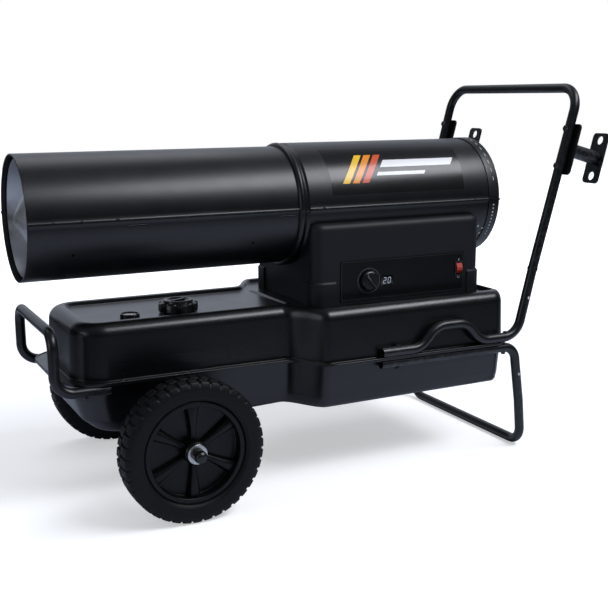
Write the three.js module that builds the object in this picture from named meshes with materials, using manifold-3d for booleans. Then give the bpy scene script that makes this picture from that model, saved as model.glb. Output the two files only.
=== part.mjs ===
// Kerosene forced air heater on a two-wheeled tank cart.
// Millimetres, +Z up. X = 0 is the wheel axle, the hot air leaves towards -X,
// the handle is at +X and the controls face -Y. The finished group is moved so that
// its origin is the middle of its footprint, on the floor.
import * as THREE from "three";
import { mergeVertices } from "three/addons/utils/BufferGeometryUtils.js";
import Module from "manifold-3d";

const wasm = await Module();
wasm.setup();

// ---------------------------------------------------------------- sizes
// Clearances
const FIT_GAP = 0.3; // between pieces that touch
const RUN_GAP = 1.5; // round pieces that turn

// Wheels and axle
const WHEEL_RADIUS = 127;
const WHEEL_WIDTH = 58;
const WHEEL_INNER_Y = 220;
const TYRE_THICKNESS = 36;
const TREAD_DEPTH = 6;
const TREAD_BLOCKS = 20;
const RIM_WIDTH = 44;
const RIM_THICKNESS = 9;
const HUB_RADIUS = 21;
const WHEEL_WEB_THICKNESS = 3;
const SPOKE_COUNT = 6;
const SPOKE_DEPTH = 14;
const SPOKE_INNER_WIDTH = 14;
const SPOKE_OUTER_WIDTH = 30;
const AXLE_RADIUS = 8;
const AXLE_COLLAR_RADIUS = 13;
const WASHER_RADIUS = 18;
const WASHER_THICKNESS = 2.5;
const AXLE_END_LENGTH = 14;
const AXLE_CAP_WALL = 3;
const AXLE_BRACKET_HALF_SPACING = 96;
const BRACKET_SHEET = 3;
const BRACKET_HALF_WIDTH = 34;

// Fuel tank: two pressed halves with a flange
const TANK_PARTING_Z = 231.5;
const TANK_SHEET = 1.3;
const TANK_FRONT_X = -190;
const TANK_REAR_X = 713;
const TANK_NARROW_HALF = 147;
const TANK_WIDE_HALF = 219;
const TANK_STEP_X = 234;
const TANK_STEP_LENGTH = 66;
const TANK_FRONT_CORNER = 76;
const TANK_REAR_CORNER = 52;
const TANK_PANEL_Z = 327;
const TANK_RAIL_HEIGHT = 7;
const TANK_BOTTOM_Z = 140;
const UPPER_WALL_INSET = 15;
const LOWER_WALL_INSET = 20;
const FRONT_WALL_INSET = 10;
const PANEL_INSET = 56;
const FRONT_HEEL = 46;
const REAR_INSET_SHARE = 0.46; // the tank's rear end is drawn in less than its sides

// Filler, cap and gauge
const FILLER_X = 54;
const FILLER_Y = -48;
const FILLER_RADIUS = 24;
const FILLER_WALL = 2;
const FILLER_HEIGHT = 9;
const STRAINER_DEPTH = 62;
const CAP_RADIUS = 38;
const CAP_HEIGHT = 20;
const CAP_LOBES = 8;
const GAUGE_X = -43;
const GAUGE_Y = -58;
const GAUGE_RADIUS = 18;
const GAUGE_HEIGHT = 8;
const GAUGE_WALL = 2.2;
const FLOAT_RADIUS = 13;
const FLOAT_HEIGHT = 26;
const STEM_END_CLEARANCE = 6;
const STEM_STOP_HEIGHT = 2;

// Tubes
const TUBE_RADIUS = 9.5;
const SPIGOT_RADIUS = 7.6;
const SPIGOT_LENGTH = 26;
const SWAGE_GAP = 0.7;
const LOWER_TUBE_START_X = 401;
const HUMP_RISE = 40;
const HANDLE_KNEE_X = 718.4;
const HANDLE_SWAGE_X = 752.7;
const HANDLE_SWAGE_Z = 377.7;
const HANDLE_BAR_X = 851.4;
const HANDLE_BAR_Z = 736.5;
const HANDLE_BAR_HALF = 217;
const STAND_KNEE_X = 716.5;
const STAND_SWAGE_X = 733.5;
const STAND_SWAGE_Z = 104;
const FOOT_BAR_X = 745;
const FOOT_BAR_HALF = 205;
const FRONT_GRIP_X = -204;
const FRONT_GRIP_Z = 328;
const FRONT_GRIP_END_X = -107;

// Cord wraps behind the handle legs
const WRAP_ALONG = 250;
const WRAP_REACH = 87;
const WRAP_PLATE_WIDTH = 44;
const WRAP_PLATE_LENGTH = 104;
const WRAP_PLATE_SHEET = 4;
const WRAP_STUB_RADIUS = 14;
const WRAP_HOLE_RADIUS = 9;
const WRAP_HOLE_SPACING = 74;

// Barrel
const BARREL_Z = 513;
const OUTLET_X = -230;
const JOINT_X = 276;
const REAR_END_X = 735;
const FRONT_RADIUS = 114;
const REAR_RADIUS = 120;
const SHELL_SHEET = 1.5;
const BEAD_HEIGHT = 2.4;
const BEAD_WIDTH = 9;
const SHELL_LAP = 16;
const SEAM_WIDTH = 7.7;
const GUARD_BAND_WIDTH = 26;

// Inside the barrel
const LINER_RADIUS = 105;
const LINER_SETBACK = 9;
const LINER_REAR_X = 236;
const LINER_SHEET = 1;
const CHAMBER_RADIUS = 80;
const CHAMBER_FRONT_X = -150;
const CHAMBER_REAR_X = 262;
const CHAMBER_SHEET = 1.2;
const NOSE_RADIUS = 84;
const NOSE_DEPTH = 40;
const NOSE_SETBACK = 2;
const BURNER_PLATE = 3;
const BURNER_BOSS_RADIUS = 24;
const BURNER_BOSS_LENGTH = 58;
const FAN_X = 352;
const FAN_RADIUS = 108;
const FAN_HUB_RADIUS = 22;
const FAN_HUB_LENGTH = 28;
const FAN_BLADES = 5;
const SHAFT_RADIUS = 5;
const MOTOR_FRONT_X = 392;
const MOTOR_LENGTH = 140;
const MOTOR_RADIUS = 52;
const PUMP_RADIUS = 44;
const PUMP_DEPTH = 22;
const PUMP_ROTOR_RADIUS = 27;
const END_COVER_DEPTH = 26;
const MOTOR_BRACKET_WIDTH = 70;
const GUARD_WIRE = 2.6;
const GUARD_RINGS = 3;
const GUARD_SPOKES = 4;
const GUARD_HUB_RADIUS = 20;

// Base housing under the barrel
const HOUSING_FRONT_X = 296;
const HOUSING_REAR_X = 680;
const HOUSING_HALF = 137;
const HOUSING_TOP_Z = 485;
const HOUSING_WALL = 2.6;
const HOUSING_CORNER = 24;
const HOUSING_TOP_ROUND = 12;
const HOUSING_FOOT_WIDTH = 46;
const HOUSING_REAR_FOOT_WIDTH = 34;
const HOUSING_FOOT_HEIGHT = 46;
const HOUSING_FOOT_PROUD = 3.5;

// Controls on the housing's -Y face
const PANEL_X = 352;
const PANEL_WIDTH = 286;
const PANEL_BASE_Z = 332.5;
const PANEL_HEIGHT = 79;
const PANEL_SHEET = 1;
const KNOB_X = 414.5;
const KNOB_Z = 370;
const KNOB_RADIUS = 20;
const KNOB_DEPTH = 14;
const DISPLAY_X = 455.5;
const DISPLAY_Z = 367.5;
const DISPLAY_WIDTH = 28;
const DISPLAY_HEIGHT = 23;
const SWITCH_X = 625;
const SWITCH_Z = 378.5;
const ROCKER_WIDTH = 13;
const ROCKER_HEIGHT = 23;
const BEZEL_BORDER = 3;
const BEZEL_PROUD = 1.5;
const SWITCH_DEPTH = 15;
const ROCKER_TILT = THREE.MathUtils.degToRad(7);

// Inside the housing
const BOARD_X = 448;
const BOARD_WIDTH = 150;
const BOARD_Z = 344;
const BOARD_HEIGHT = 60;
const BOARD_SHEET = 1.6;
const BOARD_STANDOFF = 12;
const COIL_BOX_X = 330;
const COIL_BOX_LENGTH = 78;
const COIL_BOX_WIDTH = 52;
const COIL_BOX_HEIGHT = 46;
const COIL_BOX_Y = 76;
const LINE_RADIUS = 3;
const LINE_LEVEL_Z = 356;
const FILTER_X = 470;
const FILTER_LENGTH = 52;
const FILTER_RADIUS = 14;
const GLAND_RADIUS = 9;

// Facets
const SHELL_FACETS = 28;
const WHEEL_FACETS = 24;
const TUBE_SIDES = 8;
const BEND_STEP = THREE.MathUtils.degToRad(26);

// ---------------------------------------------------------------- worked-out places
const RIM_RADIUS = WHEEL_RADIUS - TYRE_THICKNESS;
const WHEEL_OUTER_Y = WHEEL_INNER_Y + WHEEL_WIDTH;
const FLANGE_TOP_Z = TANK_PARTING_Z + FIT_GAP / 2 + TANK_SHEET;
const FLANGE_BOTTOM_Z = TANK_PARTING_Z - FIT_GAP / 2 - TANK_SHEET;
const HANDLE_TUBE_Z = FLANGE_TOP_Z + FIT_GAP + TUBE_RADIUS;
const STAND_TUBE_Z = FLANGE_BOTTOM_Z - FIT_GAP - TUBE_RADIUS;
const HANDLE_TUBE_Y = TANK_WIDE_HALF - UPPER_WALL_INSET + FIT_GAP + TUBE_RADIUS;
const STAND_TUBE_Y = TANK_WIDE_HALF - LOWER_WALL_INSET + FIT_GAP + TUBE_RADIUS;
const FRONT_GRIP_Y = TANK_NARROW_HALF - LOWER_WALL_INSET + FIT_GAP + TUBE_RADIUS;
const PANEL_SEAT_Z = TANK_PANEL_Z + FIT_GAP;
const SHELL_BORE = REAR_RADIUS - SHELL_SHEET;
const FILLER_TOP_Z = TANK_PANEL_Z + FILLER_HEIGHT;
const HOUSING_INNER_Y = HOUSING_HALF - HOUSING_WALL;
const FACE_Y = -(HOUSING_HALF + FIT_GAP + PANEL_SHEET);
const MOTOR_REAR_X = MOTOR_FRONT_X + MOTOR_LENGTH;
const PUMP_FRONT_X = MOTOR_REAR_X + FIT_GAP;
const PUMP_REAR_X = PUMP_FRONT_X + PUMP_DEPTH;
const END_COVER_X = PUMP_REAR_X + FIT_GAP;
const BURNER_X = CHAMBER_REAR_X + FIT_GAP;
const FUEL_LINE_Y = BURNER_BOSS_RADIUS + LINE_RADIUS + FIT_GAP;
const AIR_LINE_Y = -FUEL_LINE_Y;

// ---------------------------------------------------------------- finishes
const finish = (color, roughness, metalness) =>
  new THREE.MeshStandardMaterial({ color, roughness, metalness });

const BLACK_COAT = [0x17191c, 0.38, 0.3];
const BLACK_TUBE = [0x1a1c1f, 0.42, 0.3];
const HOUSING_COAT = [0x1c2028, 0.6, 0.1];
const BARE_STEEL = [0x8b8d90, 0.4, 0.9];
const HEAT_STEEL = [0x75706c, 0.5, 0.85];
const ZINC = [0xb9bcc0, 0.35, 0.9];
const ALUMINIUM = [0xa9adb1, 0.45, 0.85];
const RUBBER = [0x141414, 0.85, 0];
const BLACK_PLASTIC = [0x121315, 0.5, 0];
const PANEL_BLACK = [0x090a0b, 0.25, 0];
const SWITCH_RED = [0xc8321e, 0.35, 0];
const BOARD_GREEN = [0x1f5a38, 0.5, 0];
const FILTER_WHITE = [0xd9d6cc, 0.4, 0];
const COPPER = [0xa5643c, 0.4, 0.9];
const FLOAT_TAN = [0xb79a6a, 0.8, 0];
const NEEDLE_RED = [0xd03a22, 0.5, 0];

// ---------------------------------------------------------------- solid helpers

/** Triangles of a geometry on shared vertices, turned right side out. */
function closedSkin(geometry) {
  const bare = new THREE.BufferGeometry();
  bare.setAttribute("position", geometry.getAttribute("position").clone());
  if (geometry.index) bare.setIndex(geometry.index.clone());
  const merged = mergeVertices(bare, 1e-4);
  const place = merged.getAttribute("position");
  const corners = merged.index.array;
  const a = new THREE.Vector3();
  const b = new THREE.Vector3();
  const c = new THREE.Vector3();
  const kept = [];
  let volume = 0;
  for (let i = 0; i < corners.length; i += 3) {
    const [p, q, r] = [corners[i], corners[i + 1], corners[i + 2]];
    if (p === q || q === r || r === p) continue;
    kept.push(p, q, r);
    a.fromBufferAttribute(place, p);
    b.fromBufferAttribute(place, q);
    c.fromBufferAttribute(place, r);
    volume += a.dot(b.cross(c));
  }
  if (volume < 0) {
    for (let i = 0; i < kept.length; i += 3) [kept[i], kept[i + 1]] = [kept[i + 1], kept[i]];
  }
  merged.setIndex(kept);
  return merged;
}

/** A manifold solid of a closed geometry. */
function toSolid(geometry) {
  const skin = closedSkin(geometry);
  return new wasm.Manifold(
    new wasm.Mesh({
      numProp: 3,
      vertProperties: Float32Array.from(skin.getAttribute("position").array),
      triVerts: Uint32Array.from(skin.index.array),
    }),
  );
}

/** A three.js geometry of a manifold solid. */
function toGeometry(solid) {
  const mesh = solid.getMesh();
  const geometry = new THREE.BufferGeometry();
  geometry.setAttribute("position", new THREE.BufferAttribute(mesh.vertProperties, 3));
  geometry.setIndex(new THREE.BufferAttribute(mesh.triVerts, 1));
  geometry.computeVertexNormals();
  return geometry;
}

const join = (first, ...others) =>
  toGeometry(others.reduce((sum, other) => sum.add(toSolid(other)), toSolid(first)));

const cut = (body, ...tools) =>
  toGeometry(tools.reduce((rest, tool) => rest.subtract(toSolid(tool)), toSolid(body)));

const common = (first, second) => toGeometry(toSolid(first).intersect(toSolid(second)));

/** A box given by its two opposite corners. */
function block(x0, x1, y0, y1, z0, z1) {
  const box = new THREE.BoxGeometry(x1 - x0, y1 - y0, z1 - z0);
  return box.translate((x0 + x1) / 2, (y0 + y1) / 2, (z0 + z1) / 2);
}

/** Turns a geometry made round +Y so that its axis runs along +X or +Z. */
function alongAxis(geometry, axis) {
  if (axis === "x") geometry.rotateZ(-Math.PI / 2);
  if (axis === "z") geometry.rotateX(Math.PI / 2);
  return geometry;
}

/** A revolved profile of [radius, distance along the axis] pairs. */
function revolve(profile, axis, facets) {
  const points = profile.map(([radius, along]) => new THREE.Vector2(radius, along));
  const closes = points[0].x > 0;
  if (closes) points.push(points[0].clone());
  return alongAxis(new THREE.LatheGeometry(points, facets), axis);
}

/** A plain round bar or disc from one place on an axis to another. */
function bar(radius, from, to, axis, facets = 16) {
  return revolve([[0, from], [radius, from], [radius, to], [0, to]], axis, facets);
}

/** A flat ring or bush from one place on an axis to another. */
function ring(inner, outer, from, to, axis, facets = 24) {
  return revolve([[inner, from], [outer, from], [outer, to], [inner, to]], axis, facets);
}

/** Points of a regular outline about the origin. */
function polygon(radius, sides) {
  return Array.from({ length: sides }, (_, i) => {
    const angle = (2 * Math.PI * (i + 0.5)) / sides;
    return new THREE.Vector2(radius * Math.cos(angle), radius * Math.sin(angle));
  });
}

/** Points of a rectangle with round corners, about a middle. */
function roundedRectangle(width, height, radius, steps = 3, middleX = 0, middleY = 0) {
  const points = [];
  for (let corner = 0; corner < 4; corner += 1) {
    const sx = corner === 0 || corner === 3 ? 1 : -1;
    const sy = corner < 2 ? 1 : -1;
    for (let i = 0; i <= steps; i += 1) {
      const angle = (Math.PI / 2) * (corner + i / steps);
      points.push(
        new THREE.Vector2(
          middleX + sx * (width / 2 - radius) + radius * Math.cos(angle),
          middleY + sy * (height / 2 - radius) + radius * Math.sin(angle),
        ),
      );
    }
  }
  return points;
}

/** A flat outline pushed along +Z. */
function prism(outline, from, to) {
  const shape = outline instanceof THREE.Shape ? outline : new THREE.Shape(outline);
  return new THREE.ExtrudeGeometry(shape, { depth: to - from, bevelEnabled: false }).translate(0, 0, from);
}

/** A closed skin over rings of equally many points, capped flat at both ends. */
function loft(rings) {
  const count = rings[0].length;
  const positions = rings.flat().flatMap((point) => [point.x, point.y, point.z]);
  const index = [];
  for (let r = 0; r + 1 < rings.length; r += 1) {
    for (let i = 0; i < count; i += 1) {
      const here = r * count + i;
      const next = r * count + ((i + 1) % count);
      index.push(here, next, here + count, next, next + count, here + count);
    }
  }
  const last = (rings.length - 1) * count;
  const flat = (points) => points.map((point) => new THREE.Vector2(point.x, point.y));
  for (const [i, j, k] of THREE.ShapeUtils.triangulateShape(flat(rings[0]), [])) {
    index.push(k, j, i);
  }
  for (const [i, j, k] of THREE.ShapeUtils.triangulateShape(flat(rings.at(-1)), [])) {
    index.push(last + i, last + j, last + k);
  }
  const geometry = new THREE.BufferGeometry();
  geometry.setAttribute("position", new THREE.Float32BufferAttribute(positions, 3));
  geometry.setIndex(index);
  return geometry;
}

/** A bent tube's centre line: straight runs joined by arcs, with stations only at the bends. */
class BentPath extends THREE.Curve {
  constructor(corners, bendRadii) {
    super();
    this.stations = [corners[0]];
    for (let i = 1; i + 1 < corners.length; i += 1) this.addBend(corners, i, bendRadii[i - 1]);
    this.stations.push(corners.at(-1));
    this.tangents = this.stations.map((_, i) => this.tangentAtStation(i));
  }

  addBend(corners, i, radius) {
    const arriving = corners[i].clone().sub(corners[i - 1]).normalize();
    const leaving = corners[i + 1].clone().sub(corners[i]).normalize();
    const turn = arriving.angleTo(leaving);
    const side = leaving.clone().addScaledVector(arriving, -Math.cos(turn)).normalize();
    const start = corners[i].clone().addScaledVector(arriving, -radius * Math.tan(turn / 2));
    const steps = Math.max(2, Math.ceil(turn / BEND_STEP));
    for (let k = 0; k <= steps; k += 1) {
      const angle = (turn * k) / steps;
      const along = radius * Math.sin(angle);
      const across = radius * (1 - Math.cos(angle));
      this.stations.push(start.clone().addScaledVector(arriving, along).addScaledVector(side, across));
    }
  }

  tangentAtStation(i) {
    const before = this.stations[Math.max(i - 1, 0)];
    const here = this.stations[i];
    const after = this.stations[Math.min(i + 1, this.stations.length - 1)];
    const arriving = here.clone().sub(before).normalize();
    const leaving = after.clone().sub(here).normalize();
    return arriving.add(leaving).normalize();
  }

  stationIndex(share) {
    return Math.round(share * (this.stations.length - 1));
  }

  /** Frames carried along the line from the first bend's plane, so that flats stay square to it. */
  computeFrenetFrames() {
    const [first, second] = [this.tangents[0], this.tangents.find((t) => t.angleTo(this.tangents[0]) > 0.01)];
    const normal = new THREE.Vector3();
    if (second) normal.crossVectors(first, second).normalize();
    else normal.set(0, 0, 1).cross(first).lengthSq() > 0.01 ? normal.normalize() : normal.set(0, 1, 0);
    const normals = [normal];
    const turn = new THREE.Quaternion();
    for (let i = 1; i < this.tangents.length; i += 1) {
      turn.setFromUnitVectors(this.tangents[i - 1], this.tangents[i]);
      normals.push(normals[i - 1].clone().applyQuaternion(turn));
    }
    const binormals = normals.map((n, i) => new THREE.Vector3().crossVectors(this.tangents[i], n));
    return { tangents: this.tangents, normals, binormals };
  }

  getPointAt(share, target = new THREE.Vector3()) {
    return target.copy(this.stations[this.stationIndex(share)]);
  }

  getTangentAt(share, target = new THREE.Vector3()) {
    return target.copy(this.tangents[this.stationIndex(share)]);
  }
}

/** A round bar bent along corners, each with its own bend radius; its flats lie at the radius. */
function bentTube(corners, bendRadii, radius = TUBE_RADIUS, sides = TUBE_SIDES) {
  const path = new BentPath(corners, bendRadii);
  const section = new THREE.Shape(polygon(radius / Math.cos(Math.PI / sides), sides));
  return new THREE.ExtrudeGeometry(section, {
    extrudePath: path,
    steps: path.stations.length - 1,
  });
}

/** A straight round bar between two points. */
function straightBar(from, to, radius, sides = TUBE_SIDES) {
  return bentTube([from, to], [], radius, sides);
}

const vector = (x, y, z) => new THREE.Vector3(x, y, z);

const heater = new THREE.Group();
heater.name = "forced_air_heater";

/** Adds one named piece to a group, as a checked solid. */
function addPiece(group, name, geometry, [color, roughness, metalness]) {
  const solid = toSolid(geometry);
  const mesh = new THREE.Mesh(toGeometry(solid), finish(color, roughness, metalness));
  mesh.name = name;
  group.add(mesh);
  return mesh;
}

function addGroup(parent, x = 0, y = 0, z = 0) {
  const group = new THREE.Group();
  group.position.set(x, y, z);
  parent.add(group);
  return group;
}

// ---------------------------------------------------------------- fuel tank

const CORNER_STEPS = 4;
const STEP_STEPS = 5;
const SMALLEST_CORNER = 12;

/**
 * Plan outline of the tank at a height, drawn in by an inset all round and at the
 * front by a further inset. Half of it runs from the front to the rear on the -Y side
 * through the step where the tank widens, and the other half mirrors it.
 */
function tankRing(inset, frontInset, z) {
  const frontX = TANK_FRONT_X + inset + frontInset;
  const rearX = TANK_REAR_X - REAR_INSET_SHARE * inset;
  const narrow = TANK_NARROW_HALF - inset;
  const wide = TANK_WIDE_HALF - inset;
  const frontCorner = Math.max(TANK_FRONT_CORNER - inset, SMALLEST_CORNER);
  const rearCorner = Math.max(TANK_REAR_CORNER - inset, SMALLEST_CORNER);
  const widening = TANK_WIDE_HALF - TANK_NARROW_HALF;
  const near = [];
  for (let i = 0; i <= CORNER_STEPS; i += 1) {
    const angle = Math.PI + (Math.PI / 2) * (i / CORNER_STEPS);
    near.push([
      frontX + frontCorner + frontCorner * Math.cos(angle),
      -narrow + frontCorner + frontCorner * Math.sin(angle),
    ]);
  }
  for (let i = 0; i <= STEP_STEPS; i += 1) {
    const share = i / STEP_STEPS;
    const rise = (1 - Math.cos(Math.PI * share)) / 2;
    near.push([TANK_STEP_X + share * TANK_STEP_LENGTH, -narrow - rise * widening]);
  }
  for (let i = 0; i <= CORNER_STEPS; i += 1) {
    const angle = Math.PI * 1.5 + (Math.PI / 2) * (i / CORNER_STEPS);
    near.push([
      rearX - rearCorner + rearCorner * Math.cos(angle),
      -wide + rearCorner + rearCorner * Math.sin(angle),
    ]);
  }
  const far = near.map(([x, y]) => [x, -y]).reverse();
  return [...near, ...far].map(([x, y]) => vector(x, y, z));
}

function buildTank() {
  const tank = addGroup(heater);
  const crestZ = TANK_PANEL_Z + TANK_RAIL_HEIGHT;
  const upperBaseZ = TANK_PARTING_Z + FIT_GAP / 2;
  const upperInner = UPPER_WALL_INSET + TANK_SHEET;
  const upper = loft([
    tankRing(PANEL_INSET, FRONT_WALL_INSET, TANK_PANEL_Z),
    tankRing(PANEL_INSET - 9, FRONT_WALL_INSET, crestZ - 2),
    tankRing(PANEL_INSET - 19, FRONT_WALL_INSET, crestZ),
    tankRing(UPPER_WALL_INSET + 12, FRONT_WALL_INSET, crestZ - 2.5),
    tankRing(UPPER_WALL_INSET + 4, FRONT_WALL_INSET, crestZ - 9),
    tankRing(UPPER_WALL_INSET, FRONT_WALL_INSET, FLANGE_TOP_Z + 4),
    tankRing(UPPER_WALL_INSET - 4, FRONT_WALL_INSET / 2, FLANGE_TOP_Z),
    tankRing(0, 0, FLANGE_TOP_Z),
    tankRing(0, 0, upperBaseZ),
    tankRing(upperInner, FRONT_WALL_INSET, upperBaseZ),
    tankRing(upperInner + 4, FRONT_WALL_INSET, crestZ - 14),
    tankRing(upperInner + 9, FRONT_WALL_INSET, TANK_PANEL_Z - TANK_SHEET),
  ]);
  const fillerHole = bar(FILLER_RADIUS + FIT_GAP, TANK_PANEL_Z - 9, crestZ, "z", 20);
  fillerHole.translate(FILLER_X, FILLER_Y, 0);
  const gaugeHole = bar(GAUGE_RADIUS - 4 + FIT_GAP, TANK_PANEL_Z - 9, crestZ, "z", 16);
  gaugeHole.translate(GAUGE_X, GAUGE_Y, 0);
  const pickupHole = bar(LINE_RADIUS + 1, TANK_PANEL_Z - 9, crestZ, "z", 10);
  pickupHole.translate(pickupX, FUEL_LINE_Y, 0);
  addPiece(tank, "tank_upper_shell", cut(upper, fillerHole, gaugeHole, pickupHole), BLACK_COAT);

  const lowerRimZ = TANK_PARTING_Z - FIT_GAP / 2;
  const lowerInner = LOWER_WALL_INSET + TANK_SHEET;
  const lower = loft([
    tankRing(LOWER_WALL_INSET + 26, FRONT_HEEL, TANK_BOTTOM_Z),
    tankRing(LOWER_WALL_INSET + 15, FRONT_HEEL, TANK_BOTTOM_Z + 2),
    tankRing(LOWER_WALL_INSET + 8, FRONT_HEEL - 8, TANK_BOTTOM_Z + 9),
    tankRing(LOWER_WALL_INSET + 5, FRONT_HEEL / 2, TANK_BOTTOM_Z + 24),
    tankRing(LOWER_WALL_INSET + 3, FRONT_WALL_INSET, TANK_BOTTOM_Z + 52),
    tankRing(LOWER_WALL_INSET, FRONT_WALL_INSET, FLANGE_BOTTOM_Z),
    tankRing(0, 0, FLANGE_BOTTOM_Z),
    tankRing(0, 0, lowerRimZ),
    tankRing(lowerInner, FRONT_WALL_INSET, lowerRimZ),
    tankRing(lowerInner + 3, FRONT_WALL_INSET, TANK_BOTTOM_Z + 52),
    tankRing(lowerInner + 6, FRONT_HEEL / 2, TANK_BOTTOM_Z + 24),
    tankRing(lowerInner + 18, FRONT_HEEL, TANK_BOTTOM_Z + TANK_SHEET + 0.6),
  ]);
  const drainHole = bar(DRAIN_RADIUS + FIT_GAP, TANK_BOTTOM_Z - 5, TANK_BOTTOM_Z + 5, "z", 12);
  drainHole.translate(DRAIN_X, 0, 0);
  addPiece(tank, "tank_lower_shell", cut(lower, drainHole), BLACK_COAT);

  const drain = revolve(
    [
      [0, TANK_BOTTOM_Z - FIT_GAP - 6],
      [DRAIN_RADIUS + 4, TANK_BOTTOM_Z - FIT_GAP - 6],
      [DRAIN_RADIUS + 4, TANK_BOTTOM_Z - FIT_GAP],
      [DRAIN_RADIUS, TANK_BOTTOM_Z - FIT_GAP],
      [DRAIN_RADIUS, TANK_BOTTOM_Z + 8],
      [0, TANK_BOTTOM_Z + 8],
    ],
    "z",
    12,
  );
  addPiece(addGroup(tank, DRAIN_X), "drain_plug", drain, ZINC);
}

const DRAIN_RADIUS = 8;
const DRAIN_X = 430;
const pickupX = FILTER_X + FILTER_LENGTH + 34;

// ---------------------------------------------------------------- filler, cap and gauge

function buildFiller() {
  const filler = addGroup(heater, FILLER_X, FILLER_Y, 0);
  const bore = FILLER_RADIUS - FILLER_WALL;
  const neck = revolve(
    [
      [bore, TANK_PANEL_Z - 16],
      [FILLER_RADIUS, TANK_PANEL_Z - 16],
      [FILLER_RADIUS, PANEL_SEAT_Z],
      [FILLER_RADIUS + 5, PANEL_SEAT_Z],
      [FILLER_RADIUS + 5, PANEL_SEAT_Z + FILLER_WALL],
      [FILLER_RADIUS, PANEL_SEAT_Z + FILLER_WALL],
      [FILLER_RADIUS, FILLER_TOP_Z],
      [bore, FILLER_TOP_Z],
    ],
    "z",
    14,
  );
  addPiece(filler, "filler_neck", neck, BLACK_COAT);

  const lip = FILLER_TOP_Z + FIT_GAP;
  const cup = bore - FIT_GAP;
  const strainer = revolve(
    [
      [0, lip - STRAINER_DEPTH],
      [cup - 3, lip - STRAINER_DEPTH],
      [cup, lip],
      [FILLER_RADIUS, lip],
      [FILLER_RADIUS, lip + 1],
      [cup - 1, lip + 1],
      [cup - 4, lip - STRAINER_DEPTH + 1],
      [0, lip - STRAINER_DEPTH + 1],
    ],
    "z",
    14,
  );
  addPiece(filler, "fuel_strainer", strainer, BARE_STEEL);

  const gasketZ = lip + 1 + FIT_GAP;
  const gasketTop = gasketZ + 2;
  addPiece(filler, "cap_gasket", ring(bore - 4, FILLER_RADIUS, gasketZ, gasketTop, "z", 14), RUBBER);

  const steps = CAP_LOBES * 4;
  const capOutline = Array.from({ length: steps }, (_, i) => {
    const angle = (2 * Math.PI * i) / steps;
    const lobe = Math.min(1, 1.3 * Math.abs(Math.cos((CAP_LOBES * angle) / 2)));
    const radius = CAP_RADIUS - 5 + 5 * lobe;
    return new THREE.Vector2(radius * Math.cos(angle), radius * Math.sin(angle));
  });
  const skirtZ = PANEL_SEAT_Z + FILLER_WALL + FIT_GAP;
  const rim = prism(capOutline, skirtZ, skirtZ + CAP_HEIGHT - 4);
  const crown = revolve(
    [
      [0, skirtZ + 8],
      [CAP_RADIUS - 9, skirtZ + 8],
      [CAP_RADIUS - 9, skirtZ + CAP_HEIGHT - 1],
      [CAP_RADIUS - 12, skirtZ + CAP_HEIGHT + 1],
      [0, skirtZ + CAP_HEIGHT + 2],
    ],
    "z",
    20,
  );
  const cavity = bar(FILLER_RADIUS + FIT_GAP, skirtZ - 1, gasketTop + FIT_GAP, "z", 20);
  addPiece(filler, "fuel_cap", cut(join(rim, crown), cavity), BLACK_PLASTIC);
}

function buildGauge() {
  const gauge = addGroup(heater, GAUGE_X, GAUGE_Y, 0);
  const base = PANEL_SEAT_Z;
  const top = base + GAUGE_HEIGHT;
  const cavityFloor = base + 2.5;
  const stemEnd = TANK_BOTTOM_Z + TANK_SHEET + STEM_END_CLEARANCE;
  const floatZ = stemEnd + STEM_STOP_HEIGHT + FIT_GAP;
  const body = revolve(
    [
      [0, stemEnd],
      [6, stemEnd],
      [6, stemEnd + STEM_STOP_HEIGHT],
      [3, stemEnd + STEM_STOP_HEIGHT],
      [3, base - 12],
      [GAUGE_RADIUS - 4, base - 12],
      [GAUGE_RADIUS - 4, base],
      [GAUGE_RADIUS, base],
      [GAUGE_RADIUS, top],
      [GAUGE_RADIUS - GAUGE_WALL, top],
      [GAUGE_RADIUS - GAUGE_WALL, cavityFloor],
      [2.6, cavityFloor],
      [2.6, cavityFloor - 1],
      [0, cavityFloor - 1],
    ],
    "z",
    12,
  );
  addPiece(gauge, "gauge_body", body, BLACK_PLASTIC);

  const needleZ = cavityFloor + FIT_GAP;
  const pointer = block(-2, GAUGE_RADIUS - GAUGE_WALL - 3, -0.9, 0.9, needleZ, needleZ + 1);
  const pivot = bar(2.2, cavityFloor - 1 + FIT_GAP, needleZ + 1.6, "z", 10);
  addPiece(gauge, "gauge_needle", join(pointer, pivot), NEEDLE_RED);

  const float = ring(3 + FIT_GAP, FLOAT_RADIUS, floatZ, floatZ + FLOAT_HEIGHT, "z", 12);
  addPiece(gauge, "gauge_float", float, FLOAT_TAN);
}

// ---------------------------------------------------------------- tubes

/** A straight spigot that goes on from the end of a tube, and the bore that takes it. */
function spigotAt(end, direction, radius, length) {
  const from = end.clone().addScaledVector(direction, -length / 4);
  return straightBar(from, end.clone().addScaledVector(direction, length), radius, TUBE_SIDES);
}

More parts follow.
